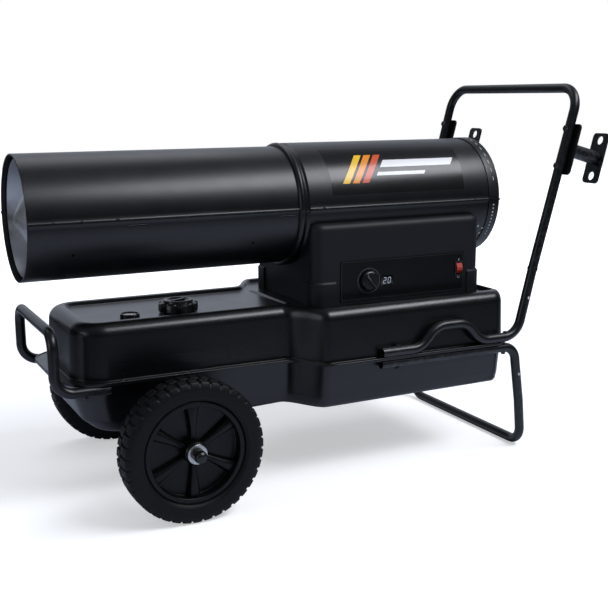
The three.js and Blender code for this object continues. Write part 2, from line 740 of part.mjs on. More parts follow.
function buildHandles() {
  const frame = addGroup(heater);
  const swage = (side) => vector(HANDLE_SWAGE_X, side * HANDLE_TUBE_Y, HANDLE_SWAGE_Z);
  const knee = (side) => vector(HANDLE_KNEE_X, side * HANDLE_TUBE_Y, HANDLE_TUBE_Z);
  const rising = swage(1).sub(knee(1)).normalize();
  const boreDepth = SPIGOT_LENGTH + FIT_GAP * 2;
  for (const [side, name] of [[-1, "left"], [1, "right"]]) {
    const y = side * HANDLE_TUBE_Y;
    const tube = bentTube(
      [
        vector(LOWER_TUBE_START_X, y, HANDLE_TUBE_Z),
        vector(488, y, HANDLE_TUBE_Z),
        vector(524, y, HANDLE_TUBE_Z + HUMP_RISE),
        vector(594, y, HANDLE_TUBE_Z + HUMP_RISE),
        vector(628, y, HANDLE_TUBE_Z),
        knee(side),
        swage(side),
      ],
      [26, 26, 26, 26, 41],
    );
    const bore = spigotAt(swage(side), rising.clone().negate(), SPIGOT_RADIUS + FIT_GAP, boreDepth);
    addPiece(frame, `handle_lower_${name}`, cut(tube, bore), BLACK_TUBE);
  }

  const gripEnd = (side) => swage(side).addScaledVector(rising, SWAGE_GAP);
  const grip = bentTube(
    [
      gripEnd(-1),
      vector(HANDLE_BAR_X, -HANDLE_BAR_HALF, HANDLE_BAR_Z),
      vector(HANDLE_BAR_X, HANDLE_BAR_HALF, HANDLE_BAR_Z),
      gripEnd(1),
    ],
    [45, 45],
  );
  const spigots = [-1, 1].map((side) =>
    spigotAt(gripEnd(side), rising.clone().negate(), SPIGOT_RADIUS, SPIGOT_LENGTH),
  );
  addPiece(frame, "upper_handle", join(grip, ...spigots), BLACK_TUBE);
}

function buildStand() {
  const frame = addGroup(heater);
  const swage = (side) => vector(STAND_SWAGE_X, side * STAND_TUBE_Y, STAND_SWAGE_Z);
  const knee = (side) => vector(STAND_KNEE_X, side * STAND_TUBE_Y, STAND_TUBE_Z);
  const falling = swage(1).sub(knee(1)).normalize();
  for (const [side, name] of [[-1, "left"], [1, "right"]]) {
    const start = vector(LOWER_TUBE_START_X, side * STAND_TUBE_Y, STAND_TUBE_Z);
    const tube = bentTube([start, knee(side), swage(side)], [30]);
    const bore = spigotAt(
      swage(side),
      falling.clone().negate(),
      SPIGOT_RADIUS + FIT_GAP,
      SPIGOT_LENGTH + FIT_GAP * 2,
    );
    addPiece(frame, `stand_tube_${name}`, cut(tube, bore), BLACK_TUBE);
  }
  const legTop = (side) => swage(side).addScaledVector(falling, SWAGE_GAP);
  const lean = Math.atan2(FOOT_BAR_X - STAND_SWAGE_X, STAND_SWAGE_Z - TUBE_RADIUS);
  const halfFacet = Math.PI / TUBE_SIDES;
  const footBarZ = (TUBE_RADIUS / Math.cos(halfFacet)) * Math.cos(halfFacet - lean);
  const foot = bentTube(
    [
      legTop(-1),
      vector(FOOT_BAR_X, -FOOT_BAR_HALF, footBarZ),
      vector(FOOT_BAR_X, FOOT_BAR_HALF, footBarZ),
      legTop(1),
    ],
    [36, 36],
  );
  const spigots = [-1, 1].map((side) =>
    spigotAt(legTop(side), falling.clone().negate(), SPIGOT_RADIUS, SPIGOT_LENGTH),
  );
  addPiece(frame, "stand_foot", join(foot, ...spigots), BLACK_TUBE);
}

function buildFrontHandle() {
  const under = STAND_TUBE_Z;
  const handle = bentTube(
    [
      vector(FRONT_GRIP_END_X, -FRONT_GRIP_Y, under),
      vector(FRONT_GRIP_X, -FRONT_GRIP_Y, under),
      vector(FRONT_GRIP_X, -FRONT_GRIP_Y, FRONT_GRIP_Z),
      vector(FRONT_GRIP_X, FRONT_GRIP_Y, FRONT_GRIP_Z),
      vector(FRONT_GRIP_X, FRONT_GRIP_Y, under),
      vector(FRONT_GRIP_END_X, FRONT_GRIP_Y, under),
    ],
    [32, 28, 28, 32],
  );
  addPiece(heater, "front_handle", handle, BLACK_TUBE);
}

/** Cord wraps: a plate behind the leg, a round stub square to it and a drilled end plate. */
function buildCordWraps() {
  const swage = vector(HANDLE_SWAGE_X, HANDLE_TUBE_Y, HANDLE_SWAGE_Z);
  const corner = vector(HANDLE_BAR_X, HANDLE_BAR_HALF, HANDLE_BAR_Z);
  const along = corner.clone().sub(swage).normalize();
  const middle = swage.clone().addScaledVector(along, WRAP_ALONG);
  const tilt = Math.atan2(along.x, along.z);
  const plate = (from, length) => {
    const outline = roundedRectangle(length, WRAP_PLATE_WIDTH, 8, 2);
    return prism(outline, from, from + WRAP_PLATE_SHEET);
  };
  for (const [side, name] of [[-1, "left"], [1, "right"]]) {
    const seat = TUBE_RADIUS + FIT_GAP;
    const endFace = WRAP_REACH - WRAP_PLATE_SHEET / 2;
    const inner = plate(seat, WRAP_PLATE_LENGTH);
    const outer = plate(endFace, WRAP_PLATE_LENGTH);
    const stub = bar(WRAP_STUB_RADIUS, seat + 1, endFace + 1, "z", 12);
    const holes = [-1, 1].map((end) =>
      bar(WRAP_HOLE_RADIUS, endFace - 2, endFace + WRAP_PLATE_SHEET + 2, "z", 8).translate(
        (end * WRAP_HOLE_SPACING) / 2,
        0,
        0,
      ),
    );
    const wrap = cut(join(inner, stub, outer), ...holes);
    wrap.rotateY(Math.PI / 2 + tilt);
    const mesh = addPiece(heater, `cord_wrap_${name}`, wrap, BLACK_TUBE);
    mesh.position.set(middle.x, side * middle.y, middle.z);
  }
}

// ---------------------------------------------------------------- wheels

function wheelRim() {
  const half = RIM_WIDTH / 2;
  const rim = revolve(
    [
      [RIM_RADIUS - RIM_THICKNESS, -half],
      [RIM_RADIUS, -half],
      [RIM_RADIUS, half],
      [RIM_RADIUS - RIM_THICKNESS, half],
      [RIM_RADIUS - RIM_THICKNESS / 2, 0],
    ],
    "y",
    WHEEL_FACETS,
  );
  const hub = ring(AXLE_RADIUS + FIT_GAP, HUB_RADIUS, -WHEEL_WIDTH / 2, WHEEL_WIDTH / 2, "y", 12);
  const reach = RIM_RADIUS - RIM_THICKNESS / 2 + 0.5;
  const spokes = Array.from({ length: SPOKE_COUNT }, (_, i) => {
    const outline = [
      [HUB_RADIUS - 5, -SPOKE_INNER_WIDTH / 2],
      [HUB_RADIUS + 20, -SPOKE_INNER_WIDTH / 2],
      [reach, -SPOKE_OUTER_WIDTH / 2],
      [reach, SPOKE_OUTER_WIDTH / 2],
      [HUB_RADIUS + 20, SPOKE_INNER_WIDTH / 2],
      [HUB_RADIUS - 5, SPOKE_INNER_WIDTH / 2],
    ].map(([x, y]) => new THREE.Vector2(x, y));
    const spoke = prism(outline, -SPOKE_DEPTH / 2, SPOKE_DEPTH / 2).rotateX(Math.PI / 2);
    return spoke.rotateY((2 * Math.PI * i) / SPOKE_COUNT + Math.PI / 6);
  });
  const web = ring(HUB_RADIUS - 1, reach, -WHEEL_WEB_THICKNESS / 2, WHEEL_WEB_THICKNESS / 2, "y", WHEEL_FACETS);
  return join(rim, hub, web, ...spokes);
}

/** Tyre: a rounded carcass that carries a ring of cross-cut tread blocks. */
function wheelTyre() {
  const bore = RIM_RADIUS + FIT_GAP;
  const half = WHEEL_WIDTH / 2;
  const base = WHEEL_RADIUS - TREAD_DEPTH;
  const carcass = revolve(
    [
      [bore, -RIM_WIDTH / 2],
      [bore + 8, -half],
      [base - 8, -half],
      [base - 1, 5 - half],
      [base - 1, half - 5],
      [base - 8, half],
      [bore + 8, half],
      [bore, RIM_WIDTH / 2],
    ],
    "y",
    WHEEL_FACETS,
  );
  const pitch = (2 * Math.PI) / TREAD_BLOCKS;
  const outline = [];
  for (let i = 0; i < TREAD_BLOCKS; i += 1) {
    for (const [share, radius] of [
      [0, base - 3],
      [0.03, WHEEL_RADIUS],
      [0.7, WHEEL_RADIUS],
      [0.73, base - 3],
    ]) {
      const angle = (i + share) * pitch;
      outline.push(new THREE.Vector2(radius * Math.cos(angle), radius * Math.sin(angle)));
    }
  }
  const shape = new THREE.Shape(outline);
  shape.holes.push(new THREE.Path(polygon(base - 9, 12)));
  const tread = prism(shape, 4 - half, half - 4).rotateX(Math.PI / 2);
  return join(carcass, tread);
}

function buildWheels() {
  const axleGroup = addGroup(heater, 0, 0, WHEEL_RADIUS);
  const collarY = WHEEL_INNER_Y - FIT_GAP;
  const washerY = WHEEL_OUTER_Y + FIT_GAP;
  const capY = washerY + WASHER_THICKNESS + FIT_GAP;
  const axleEnd = capY + AXLE_END_LENGTH;
  const axle = revolve(
    [
      [0, -axleEnd],
      [AXLE_RADIUS, -axleEnd],
      [AXLE_RADIUS, -collarY],
      [AXLE_COLLAR_RADIUS, -collarY],
      [AXLE_COLLAR_RADIUS, 6 - collarY],
      [AXLE_RADIUS, 6 - collarY],
      [AXLE_RADIUS, collarY - 6],
      [AXLE_COLLAR_RADIUS, collarY - 6],
      [AXLE_COLLAR_RADIUS, collarY],
      [AXLE_RADIUS, collarY],
      [AXLE_RADIUS, axleEnd],
      [0, axleEnd],
    ],
    "y",
    10,
  );
  addPiece(axleGroup, "axle", axle, ZINC);

  const rim = wheelRim();
  const tyre = wheelTyre();
  for (const [side, name] of [[-1, "left"], [1, "right"]]) {
    const bracketTop = TANK_BOTTOM_Z - FIT_GAP - WHEEL_RADIUS;
    const plateOutline = new THREE.Shape([
      new THREE.Vector2(-BRACKET_HALF_WIDTH, bracketTop),
      new THREE.Vector2(-AXLE_COLLAR_RADIUS - 3, -AXLE_COLLAR_RADIUS),
      new THREE.Vector2(-8, -AXLE_COLLAR_RADIUS - 6),
      new THREE.Vector2(8, -AXLE_COLLAR_RADIUS - 6),
      new THREE.Vector2(AXLE_COLLAR_RADIUS + 3, -AXLE_COLLAR_RADIUS),
      new THREE.Vector2(BRACKET_HALF_WIDTH, bracketTop),
    ]);
    plateOutline.holes.push(new THREE.Path(polygon(AXLE_RADIUS + FIT_GAP, 14)));
    const plate = prism(plateOutline, 0, BRACKET_SHEET).rotateX(Math.PI / 2);
    const tab = block(
      -BRACKET_HALF_WIDTH,
      BRACKET_HALF_WIDTH,
      -BRACKET_SHEET,
      22,
      bracketTop - BRACKET_SHEET,
      bracketTop,
    );
    const bracket = join(plate, tab);
    if (side < 0) bracket.rotateZ(Math.PI);
    bracket.translate(0, side * AXLE_BRACKET_HALF_SPACING, 0);
    addPiece(axleGroup, `axle_bracket_${name}`, bracket, BLACK_TUBE);

    const wheel = addGroup(axleGroup, 0, side * (WHEEL_INNER_Y + WHEEL_WIDTH / 2), 0);
    addPiece(wheel, `wheel_rim_${name}`, rim.clone(), BLACK_PLASTIC);
    addPiece(wheel, `tyre_${name}`, tyre.clone(), RUBBER);

    const washer = ring(AXLE_RADIUS + FIT_GAP, WASHER_RADIUS, washerY, washerY + WASHER_THICKNESS, "y", 12);
    const capBore = AXLE_RADIUS + FIT_GAP;
    const capInnerY = axleEnd + FIT_GAP;
    const cap = revolve(
      [
        [capBore, capY],
        [capBore + AXLE_CAP_WALL, capY],
        [capBore + AXLE_CAP_WALL, capInnerY],
        [capBore, capInnerY + 5],
        [capBore / 2, capInnerY + 8],
        [0, capInnerY + 9],
        [0, capInnerY],
        [capBore, capInnerY],
        [capBore, capY],
      ],
      "y",
      10,
    );
    const turned = side < 0 ? Math.PI : 0;
    addPiece(axleGroup, `hub_washer_${name}`, washer.rotateX(turned), ZINC);
    addPiece(axleGroup, `axle_cap_${name}`, cap.rotateX(turned), BLACK_PLASTIC);
  }
}

// ---------------------------------------------------------------- barrel

/** The upper or lower half of a ring about the barrel's axis, with its seam flanges. */
function halfShell(profile, isUpper, flangeFrom, flangeTo, flangeRadius) {
  const gap = FIT_GAP / 2;
  const farAway = 2 * REAR_RADIUS;
  const shell = revolve(profile, "x", SHELL_FACETS);
  const halfSpace = isUpper
    ? block(2 * OUTLET_X, 2 * REAR_END_X, -farAway, farAway, -farAway, gap)
    : block(2 * OUTLET_X, 2 * REAR_END_X, -farAway, farAway, -gap, farAway);
  const [z0, z1] = isUpper ? [gap, gap + SHELL_SHEET] : [-gap - SHELL_SHEET, -gap];
  const flanges = [-1, 1].map((side) => {
    const inner = side * (flangeRadius - SHELL_SHEET);
    const outer = side * (flangeRadius + SEAM_WIDTH);
    return block(flangeFrom, flangeTo, Math.min(inner, outer), Math.max(inner, outer), z0, z1);
  });
  return join(cut(shell, halfSpace), ...flanges);
}

function buildBarrel() {
  const barrel = addGroup(heater, 0, 0, BARREL_Z);
  const frontBore = FRONT_RADIUS - SHELL_SHEET;
  const frontProfile = [
    [frontBore, OUTLET_X],
    [FRONT_RADIUS, OUTLET_X],
    [FRONT_RADIUS, JOINT_X + SHELL_LAP],
    [frontBore, JOINT_X + SHELL_LAP],
  ];
  const neckBore = FRONT_RADIUS + FIT_GAP;
  const beadStart = JOINT_X + 3;
  const grooveX = beadStart + BEAD_WIDTH + 4;
  const bandX = REAR_END_X - GUARD_BAND_WIDTH;
  const rearProfile = [
    [neckBore, JOINT_X],
    [neckBore + SHELL_SHEET, JOINT_X],
    [REAR_RADIUS - 1, beadStart],
    [REAR_RADIUS + BEAD_HEIGHT - 1, beadStart + BEAD_WIDTH / 2],
    [REAR_RADIUS - 1, beadStart + BEAD_WIDTH],
    [neckBore + SHELL_SHEET + 1, grooveX],
    [REAR_RADIUS, grooveX + 5],
    [REAR_RADIUS, REAR_END_X - GUARD_WIRE - FIT_GAP],
    [SHELL_BORE, REAR_END_X - GUARD_WIRE - FIT_GAP],
    [SHELL_BORE, grooveX + 6],
    [neckBore, grooveX + 1],
  ];
  const frontFlangeEnd = JOINT_X - FIT_GAP;
  const rearFlange = [grooveX + 5, bandX - FIT_GAP, REAR_RADIUS];
  for (const [isUpper, name] of [[true, "upper"], [false, "lower"]]) {
    const front = halfShell(frontProfile, isUpper, OUTLET_X, frontFlangeEnd, FRONT_RADIUS);
    addPiece(barrel, `front_${name}_shell`, front, BLACK_COAT);
    let rear = halfShell(rearProfile, isUpper, ...rearFlange);
    if (!isUpper) {
      const airHoles = [airRiseX, pumpOutletX].map((x) =>
        bar(LINE_RADIUS + RUN_GAP, -REAR_RADIUS - 9, 9 - SHELL_BORE, "z", 10).translate(x, AIR_LINE_Y, 0),
      );
      const fuelHole = bar(LINE_RADIUS + RUN_GAP, -REAR_RADIUS - 9, 12 - SHELL_BORE, "z", 10);
      rear = cut(rear, ...airHoles, fuelHole.translate(airRiseX, FUEL_LINE_Y, 0));
    }
    addPiece(barrel, `rear_${name}_shell`, rear, BLACK_COAT);
  }

  const guard = fanGuard(bandX);
  addPiece(barrel, "fan_guard", guard, BLACK_COAT);
  buildBurner(barrel);
  buildMotor(barrel);
}

const airRiseX = BURNER_X + BURNER_PLATE + BURNER_BOSS_LENGTH - 10;
const pumpOutletX = END_COVER_X + END_COVER_DEPTH / 2;

/** Rear guard: a band over the shell ends, concentric wires and radial wires. */
function fanGuard(bandX) {
  const wireX = REAR_END_X - GUARD_WIRE;
  const bandBore = REAR_RADIUS + FIT_GAP;
  const band = revolve(
    [
      [bandBore, bandX],
      [bandBore + SHELL_SHEET, bandX],
      [bandBore + SHELL_SHEET, REAR_END_X],
      [REAR_RADIUS - 6, REAR_END_X],
      [REAR_RADIUS - 6, wireX],
      [bandBore, wireX],
    ],
    "x",
    SHELL_FACETS,
  );
  const spread = REAR_RADIUS - 8 - GUARD_HUB_RADIUS;
  const wires = Array.from({ length: GUARD_RINGS }, (_, i) => {
    const radius = GUARD_HUB_RADIUS + (spread * i) / GUARD_RINGS;
    return ring(radius, radius + GUARD_WIRE, wireX, REAR_END_X, "x", 14);
  });
  const spokes = Array.from({ length: GUARD_SPOKES }, (_, i) => {
    const half = GUARD_WIRE / 2;
    const wire = block(wireX, REAR_END_X, -half, half, GUARD_HUB_RADIUS, REAR_RADIUS - 4);
    return wire.rotateX((2 * Math.PI * i) / GUARD_SPOKES);
  });
  return join(band, ...wires, ...spokes);
}

function buildBurner(barrel) {
  const linerX = OUTLET_X + LINER_SETBACK;
  const liner = ring(LINER_RADIUS - LINER_SHEET, LINER_RADIUS, linerX, LINER_REAR_X, "x", SHELL_FACETS);
  const shellBore = FRONT_RADIUS - SHELL_SHEET - FIT_GAP;
  const spacerReach = shellBore * Math.cos(Math.PI / SHELL_FACETS);
  const spacers = [1, 3, 5, 7].map((eighth) =>
    block(linerX + 20, LINER_REAR_X, -6, 6, LINER_RADIUS - LINER_SHEET, spacerReach - 0.2).rotateX(
      (Math.PI * eighth) / 4,
    ),
  );
  addPiece(barrel, "heat_shield", join(liner, ...spacers), BARE_STEEL);

  const chamber = ring(CHAMBER_RADIUS - CHAMBER_SHEET, CHAMBER_RADIUS, CHAMBER_FRONT_X, CHAMBER_REAR_X, "x", 24);
  const linerBore = (LINER_RADIUS - LINER_SHEET) * Math.cos(Math.PI / SHELL_FACETS) - FIT_GAP;
  const legs = [0, 1, 2].flatMap((third) =>
    [CHAMBER_FRONT_X + 30, LINER_REAR_X - 50].map((x) =>
      block(x, x + 20, -7, 7, CHAMBER_RADIUS - CHAMBER_SHEET, linerBore - 0.2).rotateX(
        Math.PI + (2 * Math.PI * third) / 3,
      ),
    ),
  );
  addPiece(barrel, "combustion_chamber", join(chamber, ...legs), HEAT_STEEL);

  const tipX = OUTLET_X + NOSE_SETBACK;
  const skirtX = tipX + NOSE_DEPTH;
  const nose = revolve(
    [
      [0, tipX],
      [10, tipX + 1.5],
      [NOSE_RADIUS, skirtX],
      [NOSE_RADIUS, skirtX + 14],
      [NOSE_RADIUS - 1.5, skirtX + 14],
      [NOSE_RADIUS - 1.5, skirtX + 2],
      [12, tipX + 5],
      [0, tipX + 4],
    ],
    "x",
    24,
  );
  const strapInner = CHAMBER_RADIUS + FIT_GAP;
  const straps = [0, 1, 2].map((third) =>
    block(skirtX + 2, CHAMBER_FRONT_X + 18, -9, 9, strapInner, strapInner + 2.4).rotateX(
      (2 * Math.PI * third) / 3,
    ),
  );
  addPiece(barrel, "flame_cone", join(nose, ...straps), HEAT_STEEL);

  const plateEnd = BURNER_X + BURNER_PLATE;
  const bossEnd = plateEnd + BURNER_BOSS_LENGTH;
  const nozzleBore = 7;
  const head = revolve(
    [
      [nozzleBore, BURNER_X - 12],
      [BURNER_BOSS_RADIUS, BURNER_X - 12],
      [BURNER_BOSS_RADIUS + 14, BURNER_X],
      [CHAMBER_RADIUS + 3, BURNER_X],
      [CHAMBER_RADIUS + 3, plateEnd],
      [BURNER_BOSS_RADIUS, plateEnd],
      [BURNER_BOSS_RADIUS, bossEnd],
      [nozzleBore, bossEnd],
    ],
    "x",
    18,
  );
  const holes = Array.from({ length: 4 }, (_, i) => {
    const hole = bar(8, BURNER_X - 3, plateEnd + 3, "x", 6).translate(0, 0, CHAMBER_RADIUS * 0.66);
    return hole.rotateX((Math.PI * i) / 2 + Math.PI / 6);
  });

  const nozzle = revolve(
    [
      [0, BURNER_X - 20],
      [3, BURNER_X - 20],
      [nozzleBore + 1, BURNER_X - 14],
      [nozzleBore + 1, bossEnd - 6],
      [0, bossEnd - 6],
    ],
    "x",
    8,
  );
  addPiece(barrel, "burner_head", join(cut(head, ...holes), nozzle), ALUMINIUM);

  const igniterRod = bar(3.4, BURNER_X - 40, plateEnd + 26, "x", 8);
  const igniterBody = bar(8, plateEnd + FIT_GAP, plateEnd + 22, "x", 10);
  const igniter = join(igniterRod, igniterBody).translate(0, 0, CHAMBER_RADIUS * 0.66);
  addPiece(barrel, "igniter", igniter.rotateX(Math.PI / 6), FILTER_WHITE);

  const eye = bar(6, plateEnd + FIT_GAP, plateEnd + 20, "x", 10).translate(0, 0, CHAMBER_RADIUS * 0.66);
  addPiece(barrel, "photocell", eye.rotateX(-Math.PI / 2 - Math.PI / 6), BLACK_PLASTIC);
}

/** One fan blade: a thin plate that twists flatter from its root to its tip. */
function fanBlade() {
  const stations = 4;
  const rings = Array.from({ length: stations }, (_, i) => {
    const share = i / (stations - 1);
    const radius = FAN_HUB_RADIUS - 3 + share * (FAN_RADIUS - FAN_HUB_RADIUS + 3);
    const pitch = THREE.MathUtils.degToRad(42 - 20 * share);
    const halfChord = 15 + 16 * share;
    const halfSheet = 0.9;
    return [
      [-halfChord, -halfSheet],
      [halfChord, -halfSheet],
      [halfChord, halfSheet],
      [-halfChord, halfSheet],
    ].map(([along, across]) =>
      vector(
        along * Math.cos(pitch) - across * Math.sin(pitch),
        along * Math.sin(pitch) + across * Math.cos(pitch),
        radius,
      ),
    );
  });
  return loft(rings).rotateZ(Math.PI / 2);
}

function buildMotor(barrel) {
  const shaftBore = SHAFT_RADIUS + FIT_GAP;
  const fan = addGroup(barrel, FAN_X, 0, 0);
  const hubHalf = FAN_HUB_LENGTH / 2;
  const hub = ring(shaftBore, FAN_HUB_RADIUS, -hubHalf, hubHalf, "x", 16);
  const blades = Array.from({ length: FAN_BLADES }, (_, i) =>
    fanBlade().rotateX((2 * Math.PI * i) / FAN_BLADES),
  );
  addPiece(fan, "fan", join(hub, ...blades), ALUMINIUM);

  const rotorStart = PUMP_FRONT_X + 4 + FIT_GAP;
  const rotorEnd = PUMP_REAR_X - FIT_GAP;
  const shaft = revolve(
    [
      [0, FAN_X - hubHalf - 3],
      [SHAFT_RADIUS, FAN_X - hubHalf - 3],
      [SHAFT_RADIUS, rotorStart],
      [PUMP_ROTOR_RADIUS, rotorStart],
      [PUMP_ROTOR_RADIUS, rotorEnd],
      [0, rotorEnd],
    ],
    "x",
    14,
  );
  addPiece(barrel, "motor_shaft", shaft, ZINC);

  const motor = revolve(
    [
      [shaftBore, MOTOR_FRONT_X - 8],
      [14, MOTOR_FRONT_X - 8],
      [16, MOTOR_FRONT_X],
      [MOTOR_RADIUS - 6, MOTOR_FRONT_X + 2],
      [MOTOR_RADIUS, MOTOR_FRONT_X + 10],
      [MOTOR_RADIUS, MOTOR_REAR_X - 10],
      [MOTOR_RADIUS - 4, MOTOR_REAR_X],
      [shaftBore, MOTOR_REAR_X],
    ],
    "x",
    18,
  );
  addPiece(barrel, "motor_housing", motor, BLACK_COAT);

  const pocket = PUMP_ROTOR_RADIUS + FIT_GAP * 2;
  const pump = revolve(
    [
      [shaftBore, PUMP_FRONT_X],
      [PUMP_RADIUS, PUMP_FRONT_X],
      [PUMP_RADIUS, PUMP_REAR_X],
      [pocket, PUMP_REAR_X],
      [pocket, PUMP_FRONT_X + 4],
      [shaftBore, PUMP_FRONT_X + 4],
    ],
    "x",
    16,
  );
  addPiece(barrel, "pump_body", pump, ALUMINIUM);

  const coverEnd = END_COVER_X + END_COVER_DEPTH;
  const cover = revolve(
    [
      [0, END_COVER_X],
      [PUMP_RADIUS, END_COVER_X],
      [PUMP_RADIUS, coverEnd - 8],
      [PUMP_RADIUS - 6, coverEnd],
      [10, coverEnd],
      [8, coverEnd + 5],
      [0, coverEnd + 5],
    ],
    "x",
    16,
  );
  addPiece(barrel, "filter_end_cover", cover, ALUMINIUM);

  addPiece(barrel, "motor_bracket", motorBracket(), BLACK_COAT);
}

/** Saddle that stands on the lower shell and carries the motor. */
function motorBracket() {
  const saddle = MOTOR_RADIUS + FIT_GAP;
  const footRadius = (SHELL_BORE - FIT_GAP) * Math.cos(Math.PI / SHELL_FACETS);
  const spread = THREE.MathUtils.degToRad(34);
  const arc = (radius, from, to, steps) =>
    Array.from({ length: steps + 1 }, (_, i) => {
      const angle = from + ((to - from) * i) / steps;
      return new THREE.Vector2(radius * Math.sin(angle), -radius * Math.cos(angle));
    });
  const outline = [...arc(footRadius, -spread, spread, 6), ...arc(saddle, spread, -spread, 6)];
  const shape = new THREE.Shape(outline);
  const windowSpread = spread * 0.72;
  const window = [
    ...arc(saddle + 5, -windowSpread, windowSpread, 4),
    ...arc(footRadius - 5, windowSpread, -windowSpread, 4),
  ];
  shape.holes.push(new THREE.Path(window));
  const bracket = prism(shape, -MOTOR_BRACKET_WIDTH / 2, MOTOR_BRACKET_WIDTH / 2);
  bracket.rotateX(Math.PI / 2).rotateZ(Math.PI / 2);
  return bracket.translate(MOTOR_FRONT_X + MOTOR_LENGTH / 2, 0, 0);
}

// ---------------------------------------------------------------- housing and controls

/** The housing's plan outline, drawn out by a margin. */
function housingOutline(margin, corner) {
  return roundedRectangle(
    HOUSING_REAR_X - HOUSING_FRONT_X + 2 * margin,
    2 * (HOUSING_HALF + margin),
    corner + margin,
    3,
    (HOUSING_FRONT_X + HOUSING_REAR_X) / 2,
    0,
  );
}

/** Rounded block on an outline whose top edge is drawn in along a quarter circle. */
function roundedTop(margin, corner, from, to, round) {
  const level = (inset, z) =>
    housingOutline(margin - inset, corner).map((point) => vector(point.x, point.y, z));
  const turns = [0, 1, 2, 3].map((step) => {
    const angle = (Math.PI / 2) * (step / 3);
    return level(round * (1 - Math.cos(angle)), to - round * (1 - Math.sin(angle)));
  });
  return loft([level(0, from), ...turns]);
}

function buildHousing() {
  const base = PANEL_SEAT_Z;
  const outer = roundedTop(0, HOUSING_CORNER, base, HOUSING_TOP_Z, HOUSING_TOP_ROUND);
  const feet = roundedTop(
    HOUSING_FOOT_PROUD,
    HOUSING_CORNER,
    base,
    base + HOUSING_FOOT_HEIGHT,
    HOUSING_FOOT_PROUD,
  );
  const between = block(
    HOUSING_FRONT_X + HOUSING_FOOT_WIDTH,
    HOUSING_REAR_X - HOUSING_REAR_FOOT_WIDTH,
    -2 * HOUSING_HALF,
    2 * HOUSING_HALF,
    base - 5,
    base + HOUSING_FOOT_HEIGHT + 5,
  );
  const across = block(
    HOUSING_FRONT_X - 20,
    HOUSING_REAR_X + 20,
    HOUSING_FOOT_WIDTH - HOUSING_HALF,
    HOUSING_HALF - HOUSING_FOOT_WIDTH,
    base - 5,
    base + HOUSING_FOOT_HEIGHT + 5,
  );
  const inside = roundedTop(
    -HOUSING_WALL,
    HOUSING_CORNER,
    base - 5,
    HOUSING_TOP_Z - HOUSING_WALL,
    HOUSING_TOP_ROUND,
  );
  const barrelRoom = bar(REAR_RADIUS + FIT_GAP, OUTLET_X, REAR_END_X, "x", SHELL_FACETS);
  barrelRoom.translate(0, 0, BARREL_Z);
  const seamRoom = block(
    HOUSING_FRONT_X - 20,
    HOUSING_REAR_X + 20,
    -REAR_RADIUS - SEAM_WIDTH - FIT_GAP,
    REAR_RADIUS + SEAM_WIDTH + FIT_GAP,
    BARREL_Z - 4,
    BARREL_Z + 4,
  );
  const whole = cut(join(outer, cut(feet, between, across)), inside, barrelRoom, seamRoom);

  const farAway = 2 * HOUSING_HALF;
  const keep = (y0, y1) => block(HOUSING_FRONT_X - 20, HOUSING_REAR_X + 20, y0, y1, 0, BARREL_Z);
  const housing = addGroup(heater);
  const near = common(whole, keep(-farAway, -FIT_GAP / 2));
  const far = common(whole, keep(FIT_GAP / 2, farAway));
  const wallY0 = -HOUSING_HALF - 5;
  const wallY1 = -HOUSING_HALF + 8;
  const displayHole = block(
    DISPLAY_X - DISPLAY_WIDTH / 2,
    DISPLAY_X + DISPLAY_WIDTH / 2,
    wallY0,
    wallY1,
    DISPLAY_Z - DISPLAY_HEIGHT / 2,
    DISPLAY_Z + DISPLAY_HEIGHT / 2,
  );
  const nearCut = cut(near, knobHole(wallY0, wallY1), displayHole, switchHole(wallY0, wallY1));
  addPiece(housing, "side_cover_left", nearCut, HOUSING_COAT);

  const glandHole = bar(GLAND_RADIUS + FIT_GAP, HOUSING_REAR_X - 10, HOUSING_REAR_X + 10, "x", 12);
  glandHole.translate(0, GLAND_Y, GLAND_Z);
  addPiece(housing, "side_cover_right", cut(far, glandHole), HOUSING_COAT);
  buildControls(housing);
  buildElectrics(housing);
}

const GLAND_Y = 70;
const GLAND_Z = 372;
const KNOB_SHAFT_RADIUS = 3;

const knobHole = (y0, y1) =>
  bar(KNOB_SHAFT_RADIUS + 2, y0, y1, "y", 12).translate(KNOB_X, 0, KNOB_Z);

const switchHole = (y0, y1) =>
  block(
    SWITCH_X - ROCKER_WIDTH / 2 - 2,
    SWITCH_X + ROCKER_WIDTH / 2 + 2,
    y0,
    y1,
    SWITCH_Z - ROCKER_HEIGHT / 2 - 2,
    SWITCH_Z + ROCKER_HEIGHT / 2 + 2,
  );

